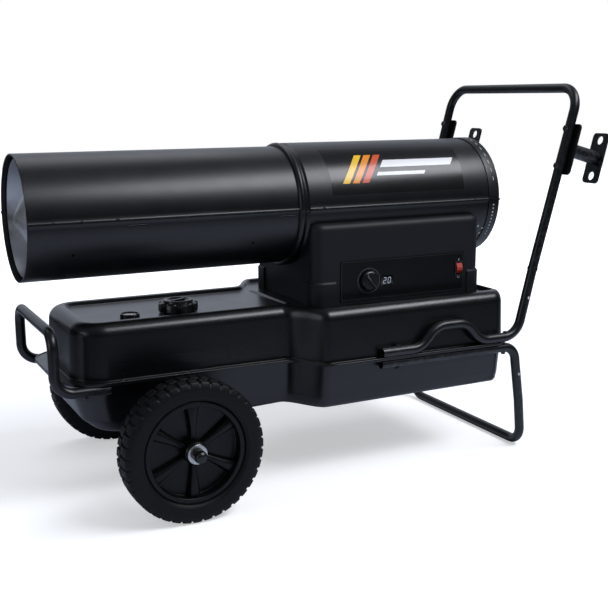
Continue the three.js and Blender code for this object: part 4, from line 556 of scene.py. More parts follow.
@dataclass(frozen=True)
class Finish:
    """A surface finish: colour, gloss, relief, wear and dust."""

    name: str
    colour: tuple[float, float, float, float]
    roughness: float
    metallic: float = 0.0
    specular: float = 0.5
    coat: float = 0.0
    tone: float = 0.25
    gloss_change: float = 0.12
    mottle_scale: float = 9.0
    relief_scale: float = 900.0
    relief_mm: float = 0.02
    wear: float = 0.0
    wear_colour: tuple[float, float, float, float] = (0.12, 0.12, 0.12, 1.0)
    dust: float = 0.0
    scuffs: float = 0.0

    def build(self) -> bpy.types.Material:
        """The Blender material, made the first time it is asked for."""
        known = bpy.data.materials.get(self.name)
        if known:
            return known
        material = bpy.data.materials.new(self.name)
        material.use_nodes = True
        tree = Tree(material.node_tree)
        shader = material.node_tree.nodes["Principled BSDF"]
        shader.inputs["Metallic"].default_value = self.metallic
        shader.inputs["Specular IOR Level"].default_value = self.specular
        shader.inputs["Coat Weight"].default_value = self.coat
        shader.inputs["Coat Roughness"].default_value = 0.12
        colour, roughness = self.surface(tree)
        relief = tree.node("Group", {"Scale": self.relief_scale}, node_tree=EFFECTS.relief)
        height = self.height(tree, relief.outputs["Height"])
        bump = tree.node("Bump", {"Height": height, "Strength": 1.0, "Distance": self.relief_mm * MM})
        links = material.node_tree.links
        links.new(colour, shader.inputs["Base Color"])
        links.new(roughness, shader.inputs["Roughness"])
        links.new(bump.outputs[0], shader.inputs["Normal"])
        self.extra(tree, shader)
        return material

    def base(self, tree: Tree) -> bpy.types.NodeSocket:
        """The colour under wear and dust: the finish's own, lighter and darker in slow patches."""
        mottle = tree.node("Group", {"Scale": self.mottle_scale}, node_tree=EFFECTS.mottle).outputs["Value"]
        lift = tree.math("ADD", tree.math("MULTIPLY", mottle, 2 * self.tone), 0.5, clamp=True)
        dark = tuple(c * (1 - self.tone) for c in self.colour[:3]) + (1.0,)
        light = tuple(c * (1 + self.tone) for c in self.colour[:3]) + (1.0,)
        return tree.blend(lift, dark, light)

    def surface(self, tree: Tree) -> tuple[bpy.types.NodeSocket, bpy.types.NodeSocket]:
        """Colour and roughness, with wear, scuffs and dust laid over the base."""
        colour = self.base(tree)
        mottle = tree.node("Group", {"Scale": self.mottle_scale * 2.3},
                           node_tree=EFFECTS.mottle).outputs["Value"]
        roughness = tree.math("MULTIPLY_ADD", mottle, 2 * self.gloss_change, self.roughness)
        if self.scuffs:
            mask = tree.node("Group", {"Amount": self.scuffs}, node_tree=EFFECTS.scuffs).outputs["Mask"]
            colour = tree.blend(mask, colour, self.wear_colour)
            roughness = tree.math("ADD", roughness, tree.math("MULTIPLY", mask, 0.2))
        if self.wear:
            mask = tree.node("Group", {"Amount": self.wear}, node_tree=EFFECTS.wear).outputs["Mask"]
            colour = tree.blend(mask, colour, self.wear_colour)
            roughness = tree.math("SUBTRACT", roughness, tree.math("MULTIPLY", mask, 0.08))
        if self.dust:
            mask = tree.node("Group", {"Amount": self.dust}, node_tree=EFFECTS.dust).outputs["Mask"]
            colour = tree.blend(mask, colour, shade(0.16, WARM))
            roughness = tree.math("ADD", roughness, tree.math("MULTIPLY", mask, 0.4))
        return colour, tree.math("MINIMUM", tree.math("MAXIMUM", roughness, 0.05), 1.0)

    def height(self, tree: Tree, relief: bpy.types.NodeSocket) -> bpy.types.NodeSocket:
        """The height that the bump reads."""
        return relief

    def extra(self, tree: Tree, shader: bpy.types.Node) -> None:
        """Room for what one kind of finish adds."""


@dataclass(frozen=True)
class TintedSteel(Finish):
    """Bare sheet steel, brown near the barrel's axis at a heated end, with fine rolling lines."""

    tint_x: float = OUTLET_X
    tint_reach: float = 60.0

    def base(self, tree: Tree) -> bpy.types.NodeSocket:
        """Steel grey that turns straw and brown within a reach of the heated end, more below the axis."""
        steel = Finish.base(self, tree)
        split = tree.node("SeparateXYZ", {0: tree.place()})
        along = tree.math("SUBTRACT", split.outputs[0], (self.tint_x + FRAME_SHIFT) * MM)
        near = tree.math("SUBTRACT", 1.0, tree.ramp(along, 0.0, self.tint_reach * MM))
        up = tree.math("SUBTRACT", split.outputs[2], BARREL_Z * MM)
        low = tree.math("SUBTRACT", 1.0, tree.ramp(tree.math("ABSOLUTE", tree.math("ADD", up, 0.018)), 0.0,
                                                   0.05))
        patch = tree.ramp(tree.noise(38.0, 5.0, tree.place(), 0.6), 0.3, 0.75)
        straw = tree.blend(tree.math("MULTIPLY", near, 0.25), steel, shade(0.36, (1.03, 0.99, 0.94)))
        brown = tree.math("MULTIPLY", tree.math("MULTIPLY", near, low), patch)
        return tree.blend(tree.math("MULTIPLY", brown, 0.75), straw, (0.11, 0.075, 0.055, 1.0))

    def height(self, tree: Tree, relief: bpy.types.NodeSocket) -> bpy.types.NodeSocket:
        """Relief with fine lines round the axis."""
        mapped = tree.node("Mapping", {"Vector": tree.place(), "Scale": (1500.0, 18.0, 18.0)})
        lines = tree.noise(1.0, 2.0, mapped.outputs[0])
        return tree.math("ADD", relief, tree.math("MULTIPLY", lines, 1.5))


@dataclass(frozen=True)
class TurnedZinc(Finish):
    """Zinc plate with its bluish and straw patches."""

    def base(self, tree: Tree) -> bpy.types.NodeSocket:
        """Plate grey between a cool and a straw tone, in small crystals."""
        cells = tree.node("TexVoronoi", {"Vector": tree.place(), "Scale": 420.0}).outputs["Color"]
        grey = tree.node("SeparateXYZ", {0: cells}).outputs[0]
        return tree.blend(grey, shade(0.42, (0.97, 1.0, 1.02)), shade(0.56, (1.05, 1.0, 0.9)))


@dataclass(frozen=True)
class CloudedFilm(Finish):
    """A clear or printed film that follows its own UV map, with a pattern laid on it."""

    bars: tuple[tuple[float, float, float, float, float, tuple[float, float, float, float]], ...] = ()

    def base(self, tree: Tree) -> bpy.types.NodeSocket:
        """The film's colour with slanted bars: each covers a span of U, leant by V, within a span of V."""
        colour = Finish.base(self, tree)
        uv = tree.node("UVMap", uv_map="UVMap").outputs[0]
        split = tree.node("SeparateXYZ", {0: uv})
        for low_u, high_u, low_v, high_v, lean, paint in self.bars:
            u = tree.math("SUBTRACT", split.outputs[0], tree.math("MULTIPLY", split.outputs[1], lean))
            inside_u = tree.math("MULTIPLY", tree.math("GREATER_THAN", u, low_u),
                                 tree.math("LESS_THAN", u, high_u))
            v = split.outputs[1]
            inside_v = tree.math("MULTIPLY", tree.math("GREATER_THAN", v, low_v),
                                 tree.math("LESS_THAN", v, high_v))
            colour = tree.blend(tree.math("MULTIPLY", inside_u, inside_v), colour, paint)
        return colour


@dataclass(frozen=True)
class Glowing(Finish):
    """A finish that gives off a little of its own colour."""

    glow: float = 0.5

    def extra(self, tree: Tree, shader: bpy.types.Node) -> None:
        """Sets the plain glow."""
        shader.inputs["Emission Color"].default_value = self.colour
        shader.inputs["Emission Strength"].default_value = self.glow


@dataclass(frozen=True)
class ClearLens(Finish):
    """Clear moulded plastic."""

    def extra(self, tree: Tree, shader: bpy.types.Node) -> None:
        """Lets light through."""
        shader.inputs["Transmission Weight"].default_value = 0.9
        shader.inputs["IOR"].default_value = 1.49


BARE_EDGE = (0.16, 0.16, 0.165, 1.0)
POWDER = Finish("black powder coat", shade(0.0025, COOL), 0.3, tone=0.18, gloss_change=0.05,
                relief_scale=620.0,
                relief_mm=0.035, wear=0.25, wear_colour=(0.03, 0.03, 0.033, 1.0), dust=0.025, scuffs=0.02)
SHELL_PAINT = Finish("barrel enamel", shade(0.003, COOL), 0.36, tone=0.16, gloss_change=0.05,
                     relief_scale=480.0,
                     relief_mm=0.03, wear=0.25, wear_colour=(0.04, 0.04, 0.044, 1.0), dust=0.025, scuffs=0.02)
HOUSING = Finish("housing paint", shade(0.0062, (0.85, 0.97, 1.35)), 0.55, specular=0.34, tone=0.12,
                 gloss_change=0.04,
                 relief_scale=1500.0, relief_mm=0.045, wear=0.15, wear_colour=(0.05, 0.05, 0.06, 1.0),
                 dust=0.04)
TUBE = Finish("tube enamel", shade(0.003, COOL), 0.34, tone=0.2, gloss_change=0.08, relief_scale=420.0,
              relief_mm=0.03, wear=0.35, wear_colour=(0.07, 0.07, 0.075, 1.0), dust=0.05, scuffs=0.06)
GUARD = Finish("guard wire coat", shade(0.006, COOL), 0.42, relief_scale=1200.0, relief_mm=0.02, wear=0.2,
               dust=0.05)
TYRE = Finish("tyre rubber", shade(0.0034, (0.9, 1.0, 1.15)), 0.5, specular=0.22, tone=0.2, gloss_change=0.08,
              relief_scale=1300.0, relief_mm=0.06, wear=0.35, wear_colour=(0.025, 0.025, 0.026, 1.0),
              dust=0.03)
WHEEL = Finish("wheel plastic", shade(0.0022, (0.9, 1.0, 1.12)), 0.33, specular=0.25, tone=0.12,
               relief_scale=1700.0,
               relief_mm=0.03, wear=0.15, wear_colour=(0.025, 0.025, 0.027, 1.0), dust=0.02)
CAP = Finish("cap plastic", shade(0.004), 0.3, tone=0.15, relief_scale=1900.0, relief_mm=0.02, wear=0.2,
             wear_colour=(0.05, 0.05, 0.05, 1.0))
PLASTIC = Finish("moulded plastic", shade(0.007), 0.5, tone=0.12, relief_scale=2100.0, relief_mm=0.03)
SEAL = Finish("seal rubber", shade(0.01), 0.8, specular=0.3, relief_scale=1500.0, relief_mm=0.05)
ZINC = TurnedZinc("zinc plate", shade(0.5), 0.3, metallic=1.0, gloss_change=0.1, relief_scale=1500.0,
                  relief_mm=0.02,
                  scuffs=0.3, wear_colour=(0.3, 0.3, 0.3, 1.0))
BLACK_ZINC = Finish("blackened screws", shade(0.02), 0.36, metallic=0.6, relief_scale=2500.0, relief_mm=0.02,
                    wear=0.8,
                    wear_colour=(0.25, 0.25, 0.26, 1.0))
LINER = TintedSteel("liner steel", shade(0.72, (0.97, 0.99, 1.04)), 0.36, metallic=1.0, tone=0.15,
                    gloss_change=0.14,
                    relief_scale=300.0, relief_mm=0.05, scuffs=0.3, wear_colour=(0.25, 0.24, 0.23, 1.0),
                    tint_reach=90.0)
CONE = TintedSteel("cone steel", shade(0.76, (0.98, 0.99, 1.02)), 0.42, metallic=1.0, tone=0.14,
                   gloss_change=0.12,
                   relief_scale=260.0, relief_mm=0.05, scuffs=0.2, wear_colour=(0.3, 0.28, 0.26, 1.0),
                   tint_reach=34.0)
BURNER = TintedSteel("burner steel", shade(0.36, (1.0, 0.97, 0.93)), 0.45, metallic=1.0, relief_mm=0.05,
                     tint_x=262.0)
ALLOY = Finish("cast alloy", shade(0.45), 0.5, metallic=1.0, tone=0.12, relief_scale=700.0, relief_mm=0.08,
               dust=0.2)
MOTOR = Finish("motor enamel", shade(0.03, COOL), 0.5, relief_scale=600.0, relief_mm=0.05, dust=0.2, wear=0.3,
               wear_colour=BARE_EDGE)
STRAINER = Finish("strainer plastic", shade(0.62, (1.0, 0.97, 0.88)), 0.55, tone=0.08, relief_scale=900.0,
                  relief_mm=0.06)
CERAMIC = Finish("igniter ceramic", shade(0.68, (1.0, 0.97, 0.9)), 0.45, tone=0.08, relief_scale=900.0,
                 relief_mm=0.02)
FLOAT = Finish("float foam", shade(0.3, WARM), 0.85, relief_scale=700.0, relief_mm=0.12)
RED = Finish("rocker plastic", (0.42, 0.02, 0.01, 1.0), 0.36, coat=0.1, tone=0.1, relief_scale=1800.0,
             relief_mm=0.01)
NEEDLE = Finish("needle red", (0.65, 0.05, 0.02, 1.0), 0.4, tone=0.08, relief_mm=0.01)
FACE_WHITE = Finish("printed white", shade(0.62), 0.5, tone=0.06, relief_scale=2000.0, relief_mm=0.01)
PRINT_GREY = Finish("printed grey", shade(0.13), 0.55, tone=0.15, relief_scale=2000.0, relief_mm=0.01)
PANEL = Finish("panel film", shade(0.003, (0.9, 1.0, 1.1)), 0.3, specular=0.35, tone=0.15, gloss_change=0.05,
               relief_scale=1900.0, relief_mm=0.012)
BLANK_LABEL = Finish("blank label film", shade(0.0036, (0.95, 1.0, 1.05)), 0.26, specular=0.45, tone=0.15,
                     gloss_change=0.05,
                     relief_scale=500.0, relief_mm=0.01)
DIGIT = Glowing("display digits", (0.42, 0.47, 0.52, 1.0), 0.4, tone=0.04, relief_mm=0.005, glow=0.25)
DARK_GLASS = Finish("display window", shade(0.003), 0.12, tone=0.1, gloss_change=0.02, relief_mm=0.002)
LENS = ClearLens("gauge lens", shade(0.9), 0.08, tone=0.02, gloss_change=0.02, relief_mm=0.002)
BOARD = Finish("circuit board", (0.02, 0.12, 0.045, 1.0), 0.4, relief_scale=700.0, relief_mm=0.05)
CLEAR_CUP = Finish("filter plastic", shade(0.6, (1.0, 0.99, 0.93)), 0.3, coat=0.3, relief_mm=0.02)
HOSE = Finish("fuel hose rubber", shade(0.014), 0.6, relief_scale=1200.0, relief_mm=0.04)
NYLON = Finish("air tube nylon", shade(0.5, (1.0, 0.99, 0.94)), 0.4, coat=0.2, relief_mm=0.02)
YELLOW, ORANGE, DEEP_ORANGE, WHITE = (0.85, 0.52, 0.03, 1.0), (0.8, 0.27, 0.02, 1.0), (0.62, 0.09, 0.03,
                                                                                       1.0), shade(0.75)
DECAL = CloudedFilm("barrel decal", shade(0.0042), 0.26, specular=0.45, tone=0.15, gloss_change=0.03,
                    relief_scale=400.0,
                    relief_mm=0.008, bars=(
                        (0.035, 0.085, 0.20, 0.80, 0.24, YELLOW), (0.105, 0.155, 0.20, 0.80, 0.24, ORANGE),
                        (0.175, 0.225, 0.20, 0.80, 0.24, DEEP_ORANGE), (0.26, 0.80, 0.50, 0.66, 0.24, WHITE),
                        (0.26, 0.62, 0.33, 0.40, 0.24, WHITE)))


# ------------------------------------------------------------------ fasteners


@dataclass(frozen=True)
class Screw:
    """One screw or bolt head on the object."""

    at: tuple[float, float, float]
    normal: tuple[float, float, float]
    radius: float = 3.4
    height: float = 2.0
    drive: Drive = Drive.CROSS
    spin: float = 20.0


def add_screws(name: str, screws: Sequence[Screw], finish: Finish, body: str, slot: str) -> None:
    """Makes one piece of a row of screws that share a finish.

    Args:
        name: the piece's name.
        screws: each screw.
        finish: their finish.
        body: the CAD body that they ride on.
        slot: passed on to Skin.make, which does not use it.
    """
    skin = Skin()
    for screw in screws:
        head = screw_head(screw.radius, screw.height, screw.drive)
        skin.merge(head.turned(placed(screw.at, screw.normal, screw.spin)))
    skin.make(name, finish.build(), body, slot, sharp=30)


# ------------------------------------------------------------------ fuel tank


@dataclass
class FuelTank:
    """Two pressed halves that meet at a hemmed flange: the plan is narrow in front and wide behind."""

    front: float = -190.0
    rear: float = 713.0
    narrow: float = 147.0
    wide: float = 219.0
    step: float = 234.0
    step_length: float = 66.0
    front_corner: float = 76.0
    rear_corner: float = 52.0
    panel: float = 327.0
    crest: float = 334.0
    bottom: float = 140.0
    sheet: float = 1.3
    rear_share: float = 0.46
    filler: tuple[float, float, float] = (54.0, -48.0, 24.3)
    gauge: tuple[float, float, float] = (-43.0, -58.0, 14.3)
    corner_steps: int = 16
    step_steps: int = 20

    def ring(self, inset_by: float, front_inset: float, z: float) -> Array:
        """The plan outline at a height.

        Each side runs straight, but for the step, where its half width grows by one half of
        one less the cosine of the way along the step, and each corner is a quarter circle.

        Args:
            inset_by: how far it is drawn in all round.
            front_inset: how much further at the front.
            z: its height.
        Returns:
            n by 3 points.
        """
        front = self.front + inset_by + front_inset
        rear = self.rear - self.rear_share * inset_by
        narrow, wide = self.narrow - inset_by, self.wide - inset_by
        front_radius = max(self.front_corner - inset_by, 12.0)
        rear_radius = max(self.rear_corner - inset_by, 12.0)
        quarter = np.linspace(0, math.pi / 2, self.corner_steps + 1)
        first = np.column_stack([front + front_radius + front_radius * np.cos(math.pi + quarter),
                                 -narrow + front_radius + front_radius * np.sin(math.pi + quarter)])
        share = np.linspace(0, 1, self.step_steps + 1)
        rise = (1 - np.cos(math.pi * share)) / 2
        middle = np.column_stack([self.step + share * self.step_length,
                                  -narrow - rise * (self.wide - self.narrow)])
        last = np.column_stack([rear - rear_radius + rear_radius * np.cos(1.5 * math.pi + quarter),
                                -wide + rear_radius + rear_radius * np.sin(1.5 * math.pi + quarter)])
        near = np.vstack([first, middle, last])
        both = np.vstack([near, (near * [1, -1])[::-1]])
        return np.column_stack([both, np.full(len(both), z)])

    def rings(self, profile: Array) -> list[Array]:
        """One ring for each (inset, front inset, height) of a profile."""
        return [self.ring(*row) for row in profile]

    def build(self) -> None:
        """Makes both halves, their hem, the panel's ridge and the screws along the flange."""
        top_flange, crest = PARTING_Z + 0.15 + self.sheet, self.crest
        groove = rounded([[62, 10, self.panel], [55.5, 10, self.panel], [48, 10, crest], [43, 10, crest]],
                         [0, 5, 5, 0], 6)
        turn = np.linspace(0, math.pi / 2, 15)[:, None]
        shoulder = np.hstack([41 - 22.1 * np.sin(turn), 10 + 0 * turn, crest - 24 * (1 - np.cos(turn))])
        foot = rounded([shoulder[-1] - [0.2, 0, 3], [15, 10, top_flange + 1], [14.5, 9.6, top_flange],
                        [0.4, 0.3, top_flange],
                        [0.4, 0.3, PARTING_Z + 0.15]], [0, 4, 1.5, 0, 0], 6)
        outside = np.vstack([groove, shoulder, foot])
        inside = np.array([[16.3, 10, PARTING_Z + 0.15], [21, 10, crest - 14],
                           [26, 10, self.panel - self.sheet],
                           [62, 10, self.panel - self.sheet]])
        upper = loft(self.rings(np.vstack([outside, inside])), cap_first=False, cap_last=False)
        holes = []
        for x, y, radius in (self.filler, self.gauge):
            rim = circle(radius, 40) + [x, y]
            tops, bottoms = [np.column_stack([rim, np.full(40, z)]) for z in (self.panel,
                                                                              self.panel - self.sheet)]
            holes.append((tops, bottoms))
            upper.grid(np.stack([tops, bottoms]))
        upper.sheet(self.ring(62, 10, self.panel), [h[0] for h in holes])
        upper.sheet(self.ring(62, 10, self.panel - self.sheet), [h[1] for h in holes])
        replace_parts(upper.make("tank_top_half", POWDER.build(), "chassis", "black_powder_coat", 40),
                    "tank_upper_shell")

        low_flange = PARTING_Z - 0.15 - self.sheet
        under = rounded([[60, 40, self.bottom], [34, 40, self.bottom], [27, 18, self.bottom + 22],
                         [22, 10, self.bottom + 58], [20, 10, low_flange - 4], [18, 9, low_flange],
                         [0.4, 0.3, low_flange], [0.4, 0.3, PARTING_Z - 0.15]], [0, 16, 12, 10, 5, 2, 0, 0],
                        7)
        within = np.array([[21.3, 10, PARTING_Z - 0.15], [24.3, 10, self.bottom + 58],
                           [38, 46, self.bottom + self.sheet]])
        lower = loft([self._sagged(ring) for ring in self.rings(np.vstack([under, within]))])
        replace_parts(lower.make("tank_bottom_half", POWDER.build(), "chassis", "black_powder_coat", 40),
                    "tank_lower_shell")

        hem = rounded([[1.5, 0, 234.2], [-1.2, 0, 234.2], [-1.2, 0, 228.4], [1.5, 0, 228.4], [1.5, 0, 229.6],
                       [0.35, 0, 229.6], [0.35, 0, 233.2], [1.5, 0, 233.2]],
                      [0.6, 1.3, 1.3, 0.6, 0.2, 0.2, 0.2, 0.2], 4, closed=True)
        loft(self.rings(hem), False, False, rows_close=True).make("tank_flange_hem", POWDER.build(),
                                                                  "chassis", "black_powder_coat", 50)
        self._ridge()
        self._flange_screws()

    def _sagged(self, ring: Array) -> Array:
        """The lower half's pressing is deeper ahead of the axle and shallower at the rear.

        Each point drops by its share of the depth below the flange times the smooth step of its
        place ahead of the axle, and rises by the same share times its way along the rear.

        Args:
            ring: n by 3 points.
        Returns:
            The moved points.
        """
        depth = np.clip((PARTING_Z - ring[:, 2]) / (PARTING_Z - self.bottom), 0, 1)
        ahead = np.clip((-28 - ring[:, 0]) / 45, 0, 1)
        rear = np.clip((ring[:, 0] - 300) / 400, 0, 1)
        moved = ring.copy()
        moved[:, 2] += depth * (3.0 * rear - 11.0 * ahead**2 * (3 - 2 * ahead))
        return moved

    def _ridge(self) -> None:
        """A low rounded ridge pressed across the panel ahead of the housing, between the rails."""
        across = np.linspace(-88, 88, 40)
        share = np.linspace(-1, 1, 15)
        height = 3.2 * np.cos(share * math.pi / 2) ** 1.2
        fade = np.clip((88.2 - abs(across)) / 12, 0, 1) ** 0.5
        x = 266 + 9 * share[None] - 0.06 * (across[:, None] + 18)
        z = self.panel - 0.3 + height[None] * fade[:, None]
        grid = np.stack([x, np.broadcast_to(across[:, None], x.shape), z], -1)
        floor = grid.copy()
        floor[..., 2] = self.panel - 0.8
        skin = Skin().grid(np.concatenate([grid, floor[:, ::-1]], 1), cap_first=True, cap_last=True)
        skin.make("tank_panel_ridge", POWDER.build(), "chassis", "black_powder_coat", 60)

    def _flange_screws(self) -> None:
        """Small screws through the flange at the front."""
        top = PARTING_Z + 0.15 + self.sheet
        places = [(x, side * (self.narrow - 7.5)) for side in (-1, 1) for x in (-84.0, 36.0, 176.0)]
        screws = [Screw((x, y, top), (0, 0, 1), 3.2, 1.8) for x, y in places]
        add_screws("tank_flange_screws", screws, BLACK_ZINC, "chassis", "black_powder_coat")


@dataclass
class Filler:
    """The filler neck, its strainer, and the lobed cap with its seal."""

    x: float = 54.0
    y: float = -48.0
    panel: float = 327.3
    radius: float = 24.0
    bore: float = 22.0
    top: float = 336.0
    cap_radius: float = 38.0
    cap_base: float = 329.6
    cap_top: float = 351.6
    lobes: int = 8

    def build(self) -> None:
        """Makes the neck, the strainer, the seal and the cap."""
        centre = (self.x, self.y, 0.0)
        neck = rounded([[self.bore, 311], [self.radius, 311], [self.radius, self.panel],
                        [self.radius + 5, self.panel],
                        [self.radius + 5, self.panel + 2], [self.radius, self.panel + 2],
                        [self.radius, self.top],
                        [self.bore, self.top]], [0.3, 0.3, 0.2, 0.3, 1.4, 1.2, 0.7, 0.7], 4, closed=True)
        piece = revolve(neck, Axis.Z, centre, 56).make("filler_collar", POWDER.build(), "chassis",
                                                       "black_powder_coat")
        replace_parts(piece, "filler_neck")
        cup = rounded([[0, 274.4], [18.2, 274.4], [21.6, 336.4], [23.8, 336.4], [23.8, 337.2], [20.4, 337.2],
                       [17, 275.6],
                       [0, 275.6]], [0, 2, 0.3, 0.3, 0.3, 0.5, 1.6, 0], 4)
        piece = revolve(cup, Axis.Z, centre, 48, closed=False).make("strainer_cup", STRAINER.build(),
                                                                    "chassis", "strainer_mesh")
        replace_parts(piece, "fuel_strainer")
        seal = rounded([[18.2, 337.7], [23.8, 337.7], [23.8, 339.5], [18.2, 339.5]], [0.6], 4, closed=True)
        piece = revolve(seal, Axis.Z, centre, 48).make("cap_seal", SEAL.build(), "cap_lift", "seal_rubber")
        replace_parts(piece, "cap_gasket")
        self._cap(centre)

    def _cap(self, centre: tuple[float, float, float]) -> None:
        """The cap: its skirt's radius follows eight squared-off lobes, and its crown is a turned dish.

        The lobe's share is the cosine of eight times the angle, steepened and cut at one.

        Args:
            centre: the filler's axis.
        """
        angle = np.linspace(0, 2 * math.pi, 192, endpoint=False)
        lobe = np.tanh(3.2 * (np.cos(self.lobes * angle) + 0.25)) * 0.5 + 0.5
        rim = self.cap_radius - 0.2
        rows = [(0, self.cap_base), (rim - 11, self.cap_base), (rim - 1.6, self.cap_base),
                (rim, self.cap_base + 1.6),
                (rim, self.cap_base + 13), (rim - 1.2, self.cap_base + 15.4), (rim - 4, self.cap_base + 16.4),
                (rim - 8, self.cap_base + 16.2), (rim - 9.2, self.cap_base + 17),
                (rim - 10, self.cap_top - 1.6),
                (rim - 12, self.cap_top - 0.6), (rim - 16, self.cap_top - 0.9),
                (rim - 19, self.cap_top - 3.0),
                (rim - 26, self.cap_top - 3.8), (0, self.cap_top - 4.0)]
        dip = np.array([0, 0, 5.6, 6, 6, 5.6, 4.2, 1.2, 0, 0, 0, 0, 0, 0, 0])[:, None]
        radius = np.array([r for r, _ in rows])[:, None] - dip * (1 - lobe)[None]
        z = np.array([h for _, h in rows])[:, None] * np.ones_like(angle)[None]
        grid = np.stack([radius * np.cos(angle), radius * np.sin(angle), z], -1) + np.array(centre)
        cavity = np.array([1, 2])  # the skirt's underside is hollowed for the neck
        grid[cavity[0], :, :2] = np.array(centre[:2]) + 24.4 * np.stack([np.cos(angle), np.sin(angle)], -1)
        floor = grid[cavity[0]].copy()
        floor[:, 2] = 339.9
        grid = np.concatenate([grid[:1] + [0, 0, 339.9 - self.cap_base], floor[None], grid[1:]])
        skin = Skin().grid(grid)
        grip = slab(rectangle(34, 7, 2.5), self.cap_top - 4.2, self.cap_top - 0.4, 1.2)
        skin.merge(grip.turned(Matrix.Translation(centre) @ Matrix.Rotation(0.5, 4, "Z")))
        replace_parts(skin.make("lobed_cap", CAP.build(), "cap", "cap_plastic", 38), "fuel_cap")


@dataclass
class FuelGauge:
    """The float gauge: a round head with a printed face, a needle and a lens, a stem and a float."""

    x: float = -43.0
    y: float = -58.0
    base: float = 327.3
    radius: float = 18.0
    top: float = 335.3
    floor: float = 329.8

    def build(self) -> None:
        """Makes the head, its face and lens, the needle and the float."""
        centre = (self.x, self.y, 0.0)
        head = rounded([[0, 147.4], [5.9, 147.4], [5.9, 149.3], [2.9, 149.3], [2.9, 315.4], [13.8, 315.4],
                        [13.8, self.base], [self.radius, self.base], [self.radius, self.top - 0.1],
                        [15.4, self.top - 0.1],
                        [15.4, self.floor], [0, self.floor]],
                       [0, 0.3, 0.3, 0.3, 0.3, 0.3, 0.2, 0.8, 1.8, 0.5, 0.2, 0], 5)
        piece = revolve(head, Axis.Z, centre, 56, closed=False).make("gauge_head", CAP.build(), "chassis",
                                                                     "black_plastic")
        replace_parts(piece, "gauge_body")
        self._face()
        lens = rounded([[0, 333.6], [15.3, 333.2], [15.3, 332.5], [0, 332.7]], [0, 0.2, 0.2, 0], 3)
        revolve(lens, Axis.Z, centre, 48, closed=False).make("gauge_lens", LENS.build(), "chassis",
                                                             "filter_plastic")
        pointer = np.array([[-2.6, -1.2], [2.4, -1.1], [12.4, -0.35], [12.4, 0.35], [2.4, 1.1], [-2.6, 1.2]])
        skin = slab(pointer, 330.2, 331.0, 0.2).merge(revolve(np.array([[0, 329.5], [2.0, 329.5],
                                                                        [2.0, 331.4], [0, 331.6]]),
                                                              Axis.Z, sides=24, closed=False))
        piece = skin.turned(Matrix.Translation(centre)).make("gauge_pointer", NEEDLE.build(), "needle",
                                                             "needle_plastic")
        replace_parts(piece, "gauge_needle")
        body = rounded([[3.35, 149.7], [12.9, 149.7], [12.9, 175.5], [3.35, 175.5]], [0.4, 2.2, 2.2, 0.4], 4,
                       closed=True)
        piece = revolve(body, Axis.Z, centre, 40).make("gauge_float_ring", FLOAT.build(), "float",
                                                       "float_foam")
        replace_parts(piece, "gauge_float")

    def _face(self) -> None:
        """The printed face: marks round the needle's sweep."""
        skin = Skin()
        for i in range(9):
            turn = -i * 229.0 / 8
            width, length = (1.1, 4.0) if i % 4 == 0 else (0.6, 2.6)
            mark = slab(rectangle(length, width, 0.1, 1) + [13.6 - length / 2, 0], self.floor,
                        self.floor + 0.12, 0.03, 1)
            skin.merge(mark.turned(Matrix.Rotation(math.radians(turn), 4, "Z")))
        skin.turned(Matrix.Translation((self.x, self.y, 0))).make("gauge_marks", FACE_WHITE.build(),
                                                                  "chassis", "panel_film")


# ------------------------------------------------------------------ tubes


